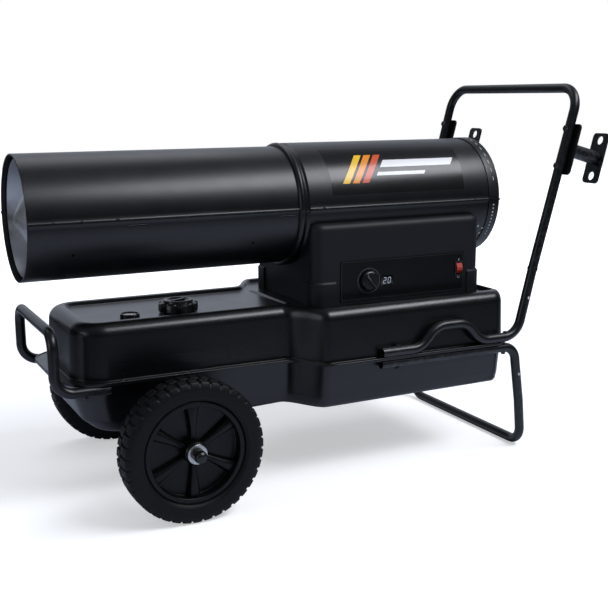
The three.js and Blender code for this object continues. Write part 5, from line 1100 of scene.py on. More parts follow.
@dataclass
class TubeFrame:
    """The bent tubes: handles on the flange, the stand, the front grip and the cord wraps."""

    radius: float = 9.5
    wall: float = 1.5
    upper_z: float = 242.75
    lower_z: float = 220.25
    upper_y: float = 213.8
    lower_y: float = 208.8
    front_y: float = 136.8
    start: float = 401.0
    swage_gap: float = 0.7
    sides: int = 28

    def _tube(self, path: Array, open_start: bool = False, reach: float = 30.0) -> Skin:
        """A round tube on a path, hollow for a reach at its start where that end is open to see."""
        section = circle(self.radius, self.sides)
        if not open_start:
            return tube(path, section)
        skin = tube(path, section, caps=False)
        whole = np.vstack(skin.points).reshape(len(path), self.sides, 3)
        along = (path[1] - path[0]) / np.linalg.norm(path[1] - path[0])
        lip = path[0] + (whole[0] - path[0]) * (1 - self.wall / self.radius)
        deep = lip + along * reach
        skin.grid(np.stack([whole[0], lip, deep]), cap_last=True)
        return skin.add(whole[-1], [list(range(self.sides))])

    def build(self) -> None:
        """Makes every tube and what is fixed on it."""
        self._handles()
        self._stand()
        self._front_grip()
        self._wraps()
        self._screws()

    def _handles(self) -> None:
        """The two lower handle tubes with their hump, and the hoop over the back."""
        swage = np.array([752.7, self.upper_y, 377.7])
        knee = np.array([718.4, self.upper_y, self.upper_z])
        rising = (swage - knee) / np.linalg.norm(swage - knee)
        for side, name in ((-1, "left"), (1, "right")):
            flip = np.array([1, side, 1])
            path = rounded([[self.start, self.upper_y, self.upper_z], [488, self.upper_y, self.upper_z],
                            [524, self.upper_y, self.upper_z + 40], [594, self.upper_y, self.upper_z + 40],
                            [628, self.upper_y, self.upper_z], knee, swage], [0, 44, 46, 46, 44, 42, 0],
                           12) * flip
            piece = self._tube(path, open_start=True).make(f"lower_handle_tube_{name}", TUBE.build(),
                                                           "chassis", "tube_paint")
            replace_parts(piece, f"handle_lower_{name}")
        start = swage + rising * self.swage_gap
        top, bar = 736.5, 217.0
        path = rounded([start * [1, -1, 1], [851.4, -bar, top], [851.4, bar, top], start], [0, 46, 46, 0], 16)
        skin = self._tube(path)
        for side in (-1, 1):
            end = start * [1, side, 1]
            skin.merge(tube(np.stack([end + rising * 3, end - rising * 26]), circle(7.5, 24)))
            ring = rounded([[self.radius - 1, -4.5], [self.radius + 0.9, -4.0], [self.radius + 0.9, 2.4],
                            [self.radius - 1, 3.0]], [0.4], 3, closed=True)
            skin.merge(revolve(ring, Axis.Z, sides=28).turned(placed(end + rising * 1, rising)))
        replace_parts(skin.make("handle_hoop", TUBE.build(), "chassis", "tube_paint"), "upper_handle")

    def _stand(self) -> None:
        """The two stand tubes under the flange and the foot hoop that they carry."""
        swage = np.array([733.5, self.lower_y, 104.0])
        knee = np.array([716.5, self.lower_y, self.lower_z])
        falling = (swage - knee) / np.linalg.norm(swage - knee)
        for side, name in ((-1, "left"), (1, "right")):
            path = rounded([[self.start, self.lower_y, self.lower_z], knee, swage], [0, 30, 0], 14) * [1,
                                                                                                       side,
                                                                                                       1]
            piece = self._tube(path, open_start=True).make(f"stand_side_tube_{name}", TUBE.build(), "chassis",
                                                           "tube_paint")
            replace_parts(piece, f"stand_tube_{name}")
        start = swage + falling * self.swage_gap
        foot = self.radius + 0.1
        path = rounded([start * [1, -1, 1], [745, -205, foot], [745, 205, foot], start], [0, 36, 36, 0], 14)
        skin = self._tube(path)
        for side in (-1, 1):
            end = start * [1, side, 1]
            skin.merge(tube(np.stack([end + falling * 3, end - falling * 26]), circle(7.5, 24)))
        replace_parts(skin.make("stand_hoop", TUBE.build(), "chassis", "tube_paint"), "stand_foot")

    def _front_grip(self) -> None:
        """The grip in front: flat under the flange, up past its end and across."""
        y, low, top = self.front_y, self.lower_z, 328.0
        path = rounded([[-107, -y, low], [-204, -y, low], [-204, -y, top], [-204, y, top], [-204, y, low],
                        [-107, y, low]],
                       [0, 34, 30, 30, 34, 0], 14)
        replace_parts(self._tube(path).make("front_grip_tube", TUBE.build(), "chassis", "tube_paint"),
                    "front_handle")

    def _wraps(self) -> None:
        """The cord wraps: a plate behind each leg, a round stub square to it and a drilled plate."""
        swage = np.array([752.7, self.upper_y, 377.7])
        along = np.array([851.4, 217.0, 736.5]) - swage
        along /= np.linalg.norm(along)
        middle = swage + along * 250
        tilt = math.atan2(along[0], along[2])
        outline = rectangle(103.6, 43.6, 8)
        for side, name in ((-1, "left"), (1, "right")):
            skin = slab(outline, 9.9, 13.6, 0.9)
            skin.merge(revolve(np.array([[0, 13.0], [13.9, 13.0], [13.9, 86], [0, 86]]), Axis.Z, sides=36,
                               closed=False))
            holes = [circle(9, 28) + [end * 37.0, 0] for end in (-1, 1)]
            faces = []
            for z in (85.1, 88.9):
                rim = np.column_stack([outline, np.full(len(outline), z)])
                faces.append([rim] + [np.column_stack([h, np.full(len(h), z)]) for h in holes])
                skin.sheet(rim, faces[-1][1:])
            for low, high in zip(*faces):
                skin.grid(np.stack([low, high]))
            turn = Matrix.Translation((middle[0], side * middle[1],
                                       middle[2])) @ Matrix.Rotation(math.pi / 2 + tilt, 4, "Y")
            piece = skin.turned(turn).make(f"cord_hook_{name}", TUBE.build(), "chassis", "tube_paint", 28)
            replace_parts(piece, f"cord_wrap_{name}")
            front = turn.to_3x3() @ Vector((0, 0, -1))
            places = [turn @ Vector((s * 38, 0, -9.6)) for s in (-1, 1)]
            bolts = [Screw(tuple(p), tuple(front), 5.2, 3.0, Drive.HEX, 15) for p in places]
            nuts = [Screw(tuple(turn @ Vector((s * 38, 0, 13.5))), tuple(-front), 5.0, 3.6, Drive.HEX,
                          5) for s in (-1, 1)]
            add_screws(f"cord_hook_bolts_{name}", bolts + nuts, BLACK_ZINC, "chassis", "tube_paint")

    def _screws(self) -> None:
        """The small screws on the tubes: through the flange in front and behind, and at the swages."""
        dark, bright = [], []
        for side in (-1, 1):
            for x in (438.0, 690.0):
                dark.append(Screw((x, side * self.upper_y, self.upper_z + self.radius - 0.2), (0, 0, 1), 4.2,
                                  3.0, Drive.HEX, 12))
                dark.append(Screw((x, side * self.lower_y, self.lower_z - self.radius + 0.2), (0, 0, -1), 4.2,
                                  4.4, Drive.HEX, 40))
            dark.append(Screw((-150, side * self.front_y, self.lower_z - self.radius + 0.2), (0, 0, -1), 4.2,
                              3.4, Drive.HEX, 8))
            bright.append(Screw((738.2, side * (self.upper_y + self.radius - 0.15), 320.5), (0, side, 0), 2.9,
                                1.3))
            bright.append(Screw((725.0, side * (self.lower_y + self.radius - 0.15), 162.0), (0, side, 0), 2.9,
                                1.3))
        add_screws("tube_flange_bolts", dark, BLACK_ZINC, "chassis", "tube_paint")
        add_screws("tube_joint_screws", bright, ZINC, "chassis", "zinc_steel")


# ------------------------------------------------------------------ wheels


@dataclass
class Wheel:
    """One wheel: a rim with six spokes and a tyre with two rows of tread blocks."""

    side: int
    name: str
    radius: float = 126.9
    width: float = 57.8
    inner_y: float = 220.0
    blocks: int = 40

    @property
    def centre(self) -> tuple[float, float, float]:
        """The middle of the wheel."""
        return (0.0, self.side * (self.inner_y + 29.0), 127.0)

    def build(self) -> None:
        """Makes the tyre, the rim, the washer and the axle's cap."""
        self._tyre()
        self._rim()
        self._hub_parts()

    def _tyre(self) -> None:
        """The tyre: a turned section whose outer half rises into blocks.

        A block's height is the product of two squared-off cosines, one round the wheel and one
        across the tread, with the two rows half a block out of step.
        """
        half = self.width / 2
        section = rounded([[91.3, -22], [93, -26], [98.5, -half], [115, -half], [122.9, -half + 5],
                           [123.6, -12],
                           [123.8, 0], [123.6, 12], [122.9, half - 5], [115, half], [98.5, half], [93, 26],
                           [91.3, 22]],
                          [1, 4, 6, 12, 6, 0, 0, 0, 6, 12, 6, 4, 1], 5, closed=True)
        lengths = np.linalg.norm(np.diff(np.vstack([section, section[:1]]), axis=0), axis=1)
        place = np.concatenate([[0], np.cumsum(lengths)])
        even = np.linspace(0, place[-1], 120, endpoint=False)
        loop = np.vstack([section, section[:1]])
        section = np.column_stack([np.interp(even, place, loop[:, 0]), np.interp(even, place, loop[:, 1])])
        angle = np.linspace(0, 2 * math.pi, self.blocks * 12, endpoint=False)
        y = section[:, 1][:, None]
        row = np.where(y > 0, 0.5, 0.0)
        phase = angle[None] / (2 * math.pi) * self.blocks + row
        around = np.clip(4.0 * np.cos(2 * math.pi * phase) + 3.0, 0, 1)
        across = np.clip((abs(y) - 1.4) / 1.1, 0, 1)
        outer = np.clip((section[:, 0][:, None] - 113.0) / 7.0, 0, 1)
        groove = 1 - 0.6 * np.exp(-((abs(y) - 15.5) / 1.2) ** 2)
        lift = 3.1 * around * across * groove * outer
        radius = np.minimum(section[:, 0][:, None] + lift, self.radius)
        grid = np.stack([radius * np.cos(angle), y * np.ones_like(angle), radius * np.sin(angle)], -1)
        skin = Skin().grid(grid + np.array(self.centre), rows_close=True)
        bead = rounded([[95.6, half - 2.4], [96.6, half - 0.2], [98.2, half - 0.2], [98.8, half - 1.6]],
                       [0.3, 0.7, 0.7, 0.3], 3, closed=True)
        for out in (-1, 1):
            skin.merge(revolve(bead * [1, out], Axis.Y, self.centre, 96))
        body = f"wheel_{self.name}"
        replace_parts(skin.make(f"tread_tyre_{self.name}", TYRE.build(), body, "tyre_rubber", 40),
                    f"tyre_{self.name}")

    def _rim(self) -> None:
        """The rim: a turned hoop with a lip, a hub and six spokes that widen and dish outwards."""
        hoop = rounded([[91.0, -22], [91.0, 22], [89.6, 23.4], [87.6, 23.4], [87.2, 21.8], [84.2, 21.8],
                        [83.8, 23.0], [81.9, 23.0],
                        [81.3, 21], [83.4, 1.5], [20, 1.5], [20, -1.5], [83.4, -1.5], [81.3, -21],
                        [82.4, -23.4], [89.2, -23.4]],
                       [0.5, 0.5, 0.8, 0.6, 0.4, 0.4, 0.5, 0.8, 1.4, 3, 0, 0, 3, 1.4, 1.4, 1], 4, closed=True)
        hub = rounded([[8.4, -28.9], [17, -28.9], [20.8, -24], [20.8, 24], [17, 28.9], [8.4, 28.9]],
                      [0.5, 2, 3, 3, 2, 0.5], 4, closed=True)
        skin = revolve(hoop, Axis.Y, self.centre, 96).merge(revolve(hub, Axis.Y, self.centre, 40))
        for i in range(6):
            skin.merge(self._spoke().turned(Matrix.Translation(self.centre)
                                            @ Matrix.Rotation(math.radians(60 * i + 30), 4, "Y")))
        piece = skin.make(f"spoked_rim_{self.name}", WHEEL.build(), f"wheel_{self.name}", "wheel_plastic", 32)
        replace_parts(piece, f"wheel_rim_{self.name}")

    def _spoke(self) -> Skin:
        """One spoke along X through the web: a rounded oblong, wider by the radius to the power 1.5."""
        share = np.linspace(0, 1, 22)[:, None]
        turn = np.linspace(0, 2 * math.pi, 40, endpoint=False)[None]
        half = 5.6 + 8.8 * share**1.5
        face = 11.5 + 4.5 * np.sin(share * math.pi * 0.5) - 1.5 * share**4
        rise = np.sign(np.sin(turn)) * abs(np.sin(turn)) ** 0.8
        across = np.sign(np.cos(turn)) * abs(np.cos(turn)) ** 0.6
        x = 17 + share * 66.0 + 0 * turn
        grid = np.stack([x, self.side * face * rise, half * across * (1 - 0.12 * np.clip(rise, 0, 1))], -1)
        return Skin().grid(grid, cap_first=True, cap_last=True)

    def _hub_parts(self) -> None:
        """The zinc washer and the domed cap on the axle's end."""
        out = self.side
        face = self.inner_y + 58.3
        washer = rounded([[8.5, face], [17.8, face], [17.8, face + 2.3], [8.5, face + 2.3]],
                         [0.3, 1.0, 1.0, 0.4], 3, closed=True)
        skin = revolve(washer * [1, out], Axis.Y, (0, 0, 127), 48)
        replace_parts(skin.make(f"zinc_washer_{self.name}", ZINC.build(), "chassis", "zinc_steel"),
                    f"hub_washer_{self.name}")
        cap = rounded([[8.5, face + 2.8], [11.2, face + 2.8], [11.2, face + 17], [10.2, face + 21.5],
                       [6.6, face + 25.0],
                       [0, face + 26.0], [0, face + 22], [8.5, face + 17]], [0.4, 0.8, 3, 4, 6, 0, 0, 1], 6)
        piece = revolve(cap * [1, out], Axis.Y, (0, 0, 127), 40,
                        closed=True).make(f"axle_end_cap_{self.name}", CAP.build(), "chassis", "cap_plastic")
        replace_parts(piece, f"axle_cap_{self.name}")


# ------------------------------------------------------------------ barrel


@dataclass(frozen=True)
class Station:
    """One place along a barrel shell: where, its outer radius, and how far its seam flange reaches."""

    x: float
    radius: float
    flange: float = 0.0


@dataclass
class Barrel:
    """The two-part tunnel: a front and a rear shell, each an upper and a lower half, and its guard."""

    sheet: float = 1.5
    seam: float = 0.15
    front_radius: float = 114.0
    rear_radius: float = 120.0
    rear_x: float = 732.1
    end_x: float = 735.0
    flange_reach: float = 7.7
    steps: int = 60

    def half(self, stations: Sequence[Station], upper: bool) -> Skin:
        """One half shell: at each station a half circle with a flange at either end, in and out.

        The outer arc runs over half a turn less the seam, each end blends into the flange with a
        small fillet, and the inner arc comes back at one sheet less.

        Args:
            stations: the places along the barrel, front to back.
            upper: whether it is the upper half.
        Returns:
            The skin, closed at both ends.
        """
        flip = 1.0 if upper else -1.0
        rings = []
        for at in stations:
            outer, inner = at.radius, at.radius - self.sheet
            reach = at.radius + at.flange
            lean = math.asin((self.seam + self.sheet + 2.2 * (at.flange > 0)) / outer)
            arc = np.linspace(lean, math.pi - lean, self.steps + 1)
            outside = np.column_stack([outer * np.cos(arc), outer * np.sin(arc)])
            low = math.asin(self.seam / inner)
            back = np.linspace(math.pi - low, low, self.steps + 1)
            inside = np.column_stack([inner * np.cos(back), inner * np.sin(back)])
            top = self.seam + self.sheet if at.flange else self.seam + self.sheet * 0.98
            near = np.array([[reach, self.seam], [reach, top], [outer + min(at.flange, 2.0) * 0.6, top]])
            outline = np.vstack([near, outside, (near * [-1, 1])[::-1], inside])
            rings.append(np.column_stack([np.full(len(outline), at.x), outline[:, 0],
                                          BARREL_Z + flip * outline[:, 1]]))
        return loft(rings)

    def _stations(self, profile: Array, flange_from: float, flange_to: float) -> list[Station]:
        """Stations along a profile of (x, radius), with the seam flange between two places."""
        made: list[Station] = []
        for x, radius in profile:
            made.append(Station(float(x), float(radius),
                                self.flange_reach if flange_from <= x <= flange_to else 0.0))
        return made

    def build(self) -> None:
        """Makes the four half shells, the guard, the fasteners and openings, and the decal."""
        front = np.array([[OUTLET_X, 113.4], [OUTLET_X + 0.5, 114.0], [-100, 114], [100, 114], [275.7, 114],
                          [275.75, 114], [292, 114]])
        rear = rounded([[276, 115.6], [278.6, 119.0], [283.5, 121.5], [288.4, 119.0], [291.6, 116.8],
                        [296.9, 120.0],
                        [self.rear_x, 120.0]], [0, 2.5, 5, 2.5, 3.5, 1.5, 0], 5)
        extra = np.array([[297.2, 120.0], [400, 120.0], [500, 120.0], [600, 120.0]])
        rear = np.vstack([rear, extra])
        rear = rear[np.argsort(rear[:, 0])]
        for upper, name in ((True, "upper"), (False, "lower")):
            skin = self.half(self._stations(front, OUTLET_X, 275.7), upper)
            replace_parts(skin.make(f"front_tunnel_{name}", SHELL_PAINT.build(), "chassis", "black_powder_coat",
                                  40), f"front_{name}_shell")
            skin = self.half(self._stations(rear, 297.2, self.rear_x), upper)
            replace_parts(skin.make(f"rear_tunnel_{name}", SHELL_PAINT.build(), "chassis", "black_powder_coat",
                                  40), f"rear_{name}_shell")
        self._guard()
        self._seam_screws()
        self._openings()
        self._decal()

    def _guard(self) -> None:
        """The rear guard: a band with a rolled lip, round wire rings and four wire spokes."""
        bore, outer = 120.3, 121.8
        band = rounded([[bore, 709], [outer, 709], [outer, self.end_x], [114, self.end_x], [114, 732.4],
                        [bore, 732.4]],
                       [0.4, 0.5, 2.0, 0.8, 0.6, 1.0], 5, closed=True)
        skin = revolve(band, Axis.X, (0, 0, BARREL_Z), 120)
        wire = 1.3
        section = circle(wire, 12)
        middle = self.end_x - wire
        for radius in (21.3, 52.0, 82.6):
            skin.merge(revolve(np.column_stack([radius + section[:, 0], middle + section[:, 1]]), Axis.X,
                               (0, 0, BARREL_Z), 72))
        for turn in range(4):
            inner, reach = np.array([middle, 0.0, 20.5]), np.array([middle, 0.0, 116.0])
            spoke = tube(np.linspace(inner, reach, 4), section)
            skin.merge(spoke.turned(Matrix.Translation((0, 0, BARREL_Z)) @ Matrix.Rotation(turn * math.pi / 2,
                                                                                           4, "X")))
        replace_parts(skin.make("rear_guard", GUARD.build(), "chassis", "guard_wire", 40), "fan_guard")

    def _seam_screws(self) -> None:
        """Screws on both seam flanges, upper side."""
        top = BARREL_Z + self.seam + self.sheet
        places = [(x, self.front_radius + 4.4) for x in (-187.0, -137.0, -75.0)]
        places += [(x, self.rear_radius + 4.4) for x in (325.0, 674.0)]
        screws = [Screw((x, side * y, top), (0, 0, 1), 3.1, 2.0, spin=25 + x) for x,
                  y in places for side in (-1, 1)]
        add_screws("tunnel_seam_screws", screws, BLACK_ZINC, "chassis", "black_powder_coat")

    def _openings(self) -> None:
        """The small pressed openings, drawn as thin patches: short slots under the seam and round vents in
        painted shade, a painted highlight strip down each slot, and the row by the guard in painted light seen
        through it.
        """
        skin, slot_highlights = Skin(), Skin()
        # each slot is a dark patch of painted shade with a grey strip of painted highlight down its middle
        for x in (-47.0, -29.0, 242.8, 260.0):
            for angle in (-175.2, -4.8):
                skin.merge(self._patch(x, angle, self.front_radius, rectangle(15.4, 3.0, 1.4, 4)))
                slot_highlights.merge(self._patch(x, angle, self.front_radius + 0.08, rectangle(15.0, 0.9, 0.4, 3)))
        slot_highlights.make("tunnel_slot_highlights", SLOT_PAINTED_HIGHLIGHT.build(), "chassis", "black_powder_coat", 60)
        # the two round holes are near-black patches of painted shade, not openings
        for x, angle, radius in ((-151.1, -149.4, 114.0), (187.3, -149.1, 114.0)):
            skin.merge(self._patch(x, angle, radius, circle(2.6, 20)))
        skin.make("tunnel_openings_painted_shade", OPENING_PAINTED_SHADE.build(), "chassis", "black_powder_coat", 60)
        # the vents and the three holes by the guard are light patches of painted light, for the pale background
        # seen through them
        vents = Skin()
        for step in range(10):
            for angle in (-174.5 + 3.6 * step, -5.5 - 3.6 * step):
                vents.merge(self._patch(720.5, angle, 121.8, circle(1.7, 14)))
        for step in range(8):
            for angle in (160.0 - 9.0 * step, 20.0 + 9.0 * step):
                vents.merge(self._patch(722.5, angle, 121.8, rectangle(1.3, 8.5, 0.6, 3)))
        for x, angle in ((693.9, -152.1), (706.4, -149.2), (704.7, -142.7)):
            vents.merge(self._patch(x, angle, 120.0, circle(2.4, 16)))
        vents.make("guard_vents_painted_light", VENT_PAINTED_LIGHT.build(), "chassis", "guard_wire", 60)

    def _patch(self, x: float, angle: float, radius: float, outline: Array) -> Skin:
        """A thin patch on the barrel: its outline's second number goes round as arc over radius.

        Args:
            x: its middle along the barrel.
            angle: its middle round the axis, in degrees.
            radius: the shell's radius.
            outline: n by 2 points.
        Returns:
            The skin, one side's depth above and one below the shell.
        """
        turn = math.radians(angle) + outline[:, 1] / radius
        rings = [np.column_stack([x + outline[:, 0], r * np.cos(turn),
                                  BARREL_Z + r * np.sin(turn)]) for r in (radius - 0.3, radius + 0.08)]
        return loft(rings)

    def _decal(self) -> None:
        """The decal film: a leaning field on the near side of the rear upper shell, with plain bars.

        Its U runs along the barrel and its V up and round it; the field leans by moving each row
        along the barrel as it goes up.
        """
        rows, columns = 24, 60
        u, v = np.meshgrid(np.linspace(0, 1, columns), np.linspace(0, 1, rows))
        low, high = math.radians(168.5), math.radians(117.0)
        angle = low + (high - low) * v
        x = 346 + 302 * u + 8 * v * u
        radius = 120.16
        grid = np.stack([x, radius * np.cos(angle) * -1, BARREL_Z + radius * np.sin(angle)], -1)
        grid[..., 1] = -abs(grid[..., 1])
        skin = Skin().grid(grid, columns_close=False)
        uv = np.stack([u.ravel(), v.ravel()], -1)
        skin.make("tunnel_decal", DECAL.build(), "chassis", "panel_film", 60, uv=uv)


# near-black patches on the slots and holes: painted shade for the tunnel's unlit inside
OPENING_PAINTED_SHADE = Finish("painted shade in openings", shade(0.0015), 0.9, specular=0.05, tone=0.1, relief_mm=0.002)
# light patches on the vents: painted light for the background seen through them
VENT_PAINTED_LIGHT = Finish("painted light through vents", shade(0.55), 0.8, specular=0.1, tone=0.2, relief_mm=0.002)
# a grey strip down each slot's middle: a painted highlight
SLOT_PAINTED_HIGHLIGHT = Finish("painted slot highlight", shade(0.2), 0.45, metallic=0.4, tone=0.3, relief_scale=2500.0,
                  relief_mm=0.01)


@dataclass
class Burner:
    """The hot parts inside the tunnel: the liner, the chamber and the nose cone."""

    cone_tip: float = -228.0
    cone_skirt: float = -188.0
    cone_radius: float = 84.0

    def build(self) -> None:
        """Makes each of them as a turned skin, on the spacers and straps of the frame's pieces."""
        axis = (0, 0, BARREL_Z)
        liner = rounded([[104, -221], [105, -221], [105, 236], [104, 236]], [0.3], 3, closed=True)
        skin = revolve(liner, Axis.X, axis, 120)
        for eighth in (1, 3, 5, 7):
            skin.merge(self._strap(-201, 236, 104.5, 112.0, 12, math.radians(45 * eighth)))
        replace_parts(skin.make("liner_tube", LINER.build(), "chassis", "bare_liner", 40), "heat_shield")
        chamber = rounded([[78.8, -150], [80, -150], [80, 262], [78.8, 262]], [0.3], 3, closed=True)
        skin = revolve(chamber, Axis.X, axis, 96)
        for third in range(3):
            for x in (-120, 186):
                skin.merge(self._strap(x, x + 20, 79, 103.2, 14, math.pi + 2 * math.pi * third / 3))
        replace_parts(skin.make("chamber_tube", BURNER.build(), "chassis", "burner_steel", 40),
                    "combustion_chamber")
        cone = rounded([[0, self.cone_tip], [9, self.cone_tip + 1.0], [self.cone_radius, self.cone_skirt],
                        [self.cone_radius, self.cone_skirt + 14],
                        [self.cone_radius - 1.5, self.cone_skirt + 14],
                        [self.cone_radius - 1.5, self.cone_skirt + 2], [12, self.cone_tip + 5],
                        [0, self.cone_tip + 4]],
                       [0, 8, 3, 0.4, 0.4, 2, 4, 0], 6)
        skin = revolve(cone, Axis.X, axis, 96, closed=False)
        for third in range(3):
            skin.merge(self._strap(self.cone_skirt + 2, -132, 80.3, 82.7, 18, 2 * math.pi * third / 3))
        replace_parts(skin.make("nose_cone", CONE.build(), "chassis", "burner_steel", 40), "flame_cone")

    def _strap(self, start: float, end: float, inner: float, outer: float, width: float, turn: float) -> Skin:
        """A flat strap along the barrel between two radii, turned round the axis."""
        outline = np.array([[start, -width / 2], [end, -width / 2], [end, width / 2], [start, width / 2]])
        skin = slab(outline, inner, outer, 0.2, 2)
        return skin.turned(Matrix.Translation((0, 0, BARREL_Z)) @ Matrix.Rotation(turn, 4, "X"))


# ------------------------------------------------------------------ housing and controls


# the x and z spans of the holes for the knob, the display and the rocker
COVER_HOLES = ((403, 426, 355, 380), (441, 470, 355, 380), (616.5, 633.5, 365, 392))
COVER_HOLE_Y = -130  # the holes go through the near wall only, which lies past this


@dataclass
class Housing:
    """The two pressed side covers between the tank and the tunnel, with thicker feet at the corners."""

    front: float = 296.0
    rear: float = 680.0
    half: float = 137.0
    base: float = 327.35
    top: float = 485.0
    wall: float = 2.6
    corner: float = 24.0
    top_round: float = 13.0
    foot_height: float = 46.0
    foot_width: float = 46.0
    rear_foot_width: float = 34.0
    foot_proud: float = 3.4
    barrel_room: float = 120.4
    split: float = 0.2

    def _outline(self) -> tuple[Array, Array]:
        """The near half of the plan: points from the front's middle round to the rear's, and normals."""
        radius = self.corner
        foot_edge = [self.front + self.foot_width, self.front + self.foot_width + 1.5,
                     self.rear - self.rear_foot_width - 1.5, self.rear - self.rear_foot_width]
        holes = [403.0, 426.0, 441.0, 470.0, 616.5, 633.5]
        along = np.unique(np.concatenate([np.linspace(self.front + radius, self.rear - radius, 60), foot_edge,
                                          holes]))
        reach = self.half - radius
        across = np.unique(np.concatenate([np.linspace(self.split, reach, 34),
                                           [self.half - self.foot_width - 1.5, self.half - self.foot_width]]))
        turn = np.linspace(0, math.pi / 2, 13)[1:-1]
        front_wall = np.column_stack([np.full(len(across), self.front), -across])
        front_corner = np.column_stack([self.front + radius - radius * np.cos(turn),
                                        -reach - radius * np.sin(turn)])
        side = np.column_stack([along, np.full(len(along), -self.half)])
        rear_corner = np.column_stack([self.rear - radius + radius * np.sin(turn),
                                       -reach - radius * np.cos(turn)])
        rear_wall = np.column_stack([np.full(len(across), self.rear), -across[::-1]])
        points = np.vstack([front_wall, front_corner, side, rear_corner, rear_wall])
        normals = np.vstack([np.tile([-1.0, 0.0], (len(across), 1)),
                             np.column_stack([-np.cos(turn), -np.sin(turn)]),
                             np.tile([0.0, -1.0], (len(along), 1)),
                             np.column_stack([np.sin(turn), -np.cos(turn)]),
                             np.tile([1.0, 0.0], (len(across), 1))])
        return points, normals

    def _surface(self, margin: float, rows: Array, feet: bool) -> Array:
        """The near cover's surface at a margin from its plan.

        Each column goes straight up, round a quarter circle and in towards the barrel, and stops
        where it first comes within the barrel's room; the rows above the straight part are spread
        evenly over what is left of the column.

        Args:
            margin: how far outside the plan.
            rows: the heights of the straight part.
            feet: whether the feet stand proud.
        Returns:
            Rows by columns by 3 points.
        """
        plan, normal = self._outline()
        top = self.top + min(margin, 0.0)
        dense = np.linspace(0, 1, 400)
        straight, arc, flat = top - self.top_round - rows[-1], self.top_round * math.pi / 2, 60.0
        place = dense * (straight + arc + flat)
        turn = np.clip((place - straight) / self.top_round, 0, math.pi / 2)
        z = rows[-1] + np.minimum(place, straight) + self.top_round * np.sin(turn)
        inwards = self.top_round * (1 - np.cos(turn)) + np.clip(place - straight - arc, 0, None)
        xy = plan[:, None] + normal[:, None] * (margin - inwards[None, :, None])
        inside = xy[..., 1] ** 2 + (z[None] - BARREL_Z) ** 2 < (self.barrel_room + 0.0) ** 2
        last = np.where(inside.any(1), inside.argmax(1), len(dense) - 1)
        index = np.linspace(0, 1, 30)[None] * last[:, None]
        low = np.clip(np.floor(index).astype(int), 0, len(dense) - 2)
        share = (index - low)[..., None]
        path = np.concatenate([xy, np.broadcast_to(z[None, :, None], (len(plan), len(dense), 1))], -1)
        first = np.take_along_axis(path, low[..., None], 1)
        second = np.take_along_axis(path, low[..., None] + 1, 1)
        upper = (first * (1 - share) + second * share).transpose(1, 0, 2)
        proud = np.zeros((len(rows), len(plan)))
        if feet:
            x, y = plan[:, 0], -plan[:, 1]
            side = np.maximum(np.clip((self.front + self.foot_width + 1.5 - x) / 1.5, 0, 1),
                              np.clip((x - self.rear + self.rear_foot_width + 1.5) / 1.5, 0, 1))
            corner = np.clip((y - self.half + self.foot_width + 1.5) / 1.5, 0, 1)
            rise = np.clip((self.base + self.foot_height - rows) / 3.5, 0, 1)
            proud = self.foot_proud * rise[:, None] * (side * corner)[None]
        lower = plan[None] + normal[None] * (margin + proud[..., None])
        lower = np.concatenate([lower, np.broadcast_to(rows[:, None, None], (len(rows), len(plan), 1))], -1)
        return np.concatenate([lower, upper[1:]])

    def build(self) -> None:
        """Makes both covers; the near one is open behind the knob, the display and the switch."""
        heights = np.unique(np.concatenate([np.linspace(self.base, 392.5, 18), [365.0, 392.0, 355.0, 380.0],
                                            [self.base + self.foot_height,
                                             self.base + self.foot_height - 3.5]]))
        outer, inner = self._surface(0.0, heights, True), self._surface(-self.wall, heights, False)
        whole = np.concatenate([outer, inner[::-1]])
        near = Skin().grid(whole, rows_close=True, columns_close=False)
        for column in (0, -1):
            near.grid(np.stack([outer[:, column], inner[:, column]]), columns_close=False)
        mirrored = Skin().add(np.vstack(near.points) * [1, -1, 1], near.faces)
        points, faces = np.vstack(near.points), np.array(near.faces)
        middle = points[faces].mean(1)
        keep = np.ones(len(faces), bool)
        for x0, x1, z0, z1 in COVER_HOLES:
            hole = (middle[:, 0] > x0) & (middle[:, 0] < x1) & (middle[:, 2] > z0) & (middle[:, 2] < z1)
            keep &= ~(hole & (middle[:, 1] < COVER_HOLE_Y))
        near.faces = faces[keep].tolist()
        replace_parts(near.make("cover_near", HOUSING.build(), "chassis", "housing_paint", 30),
                    "side_cover_left")
        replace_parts(mirrored.make("cover_far", HOUSING.build(), "chassis", "housing_paint", 30),
                    "side_cover_right")


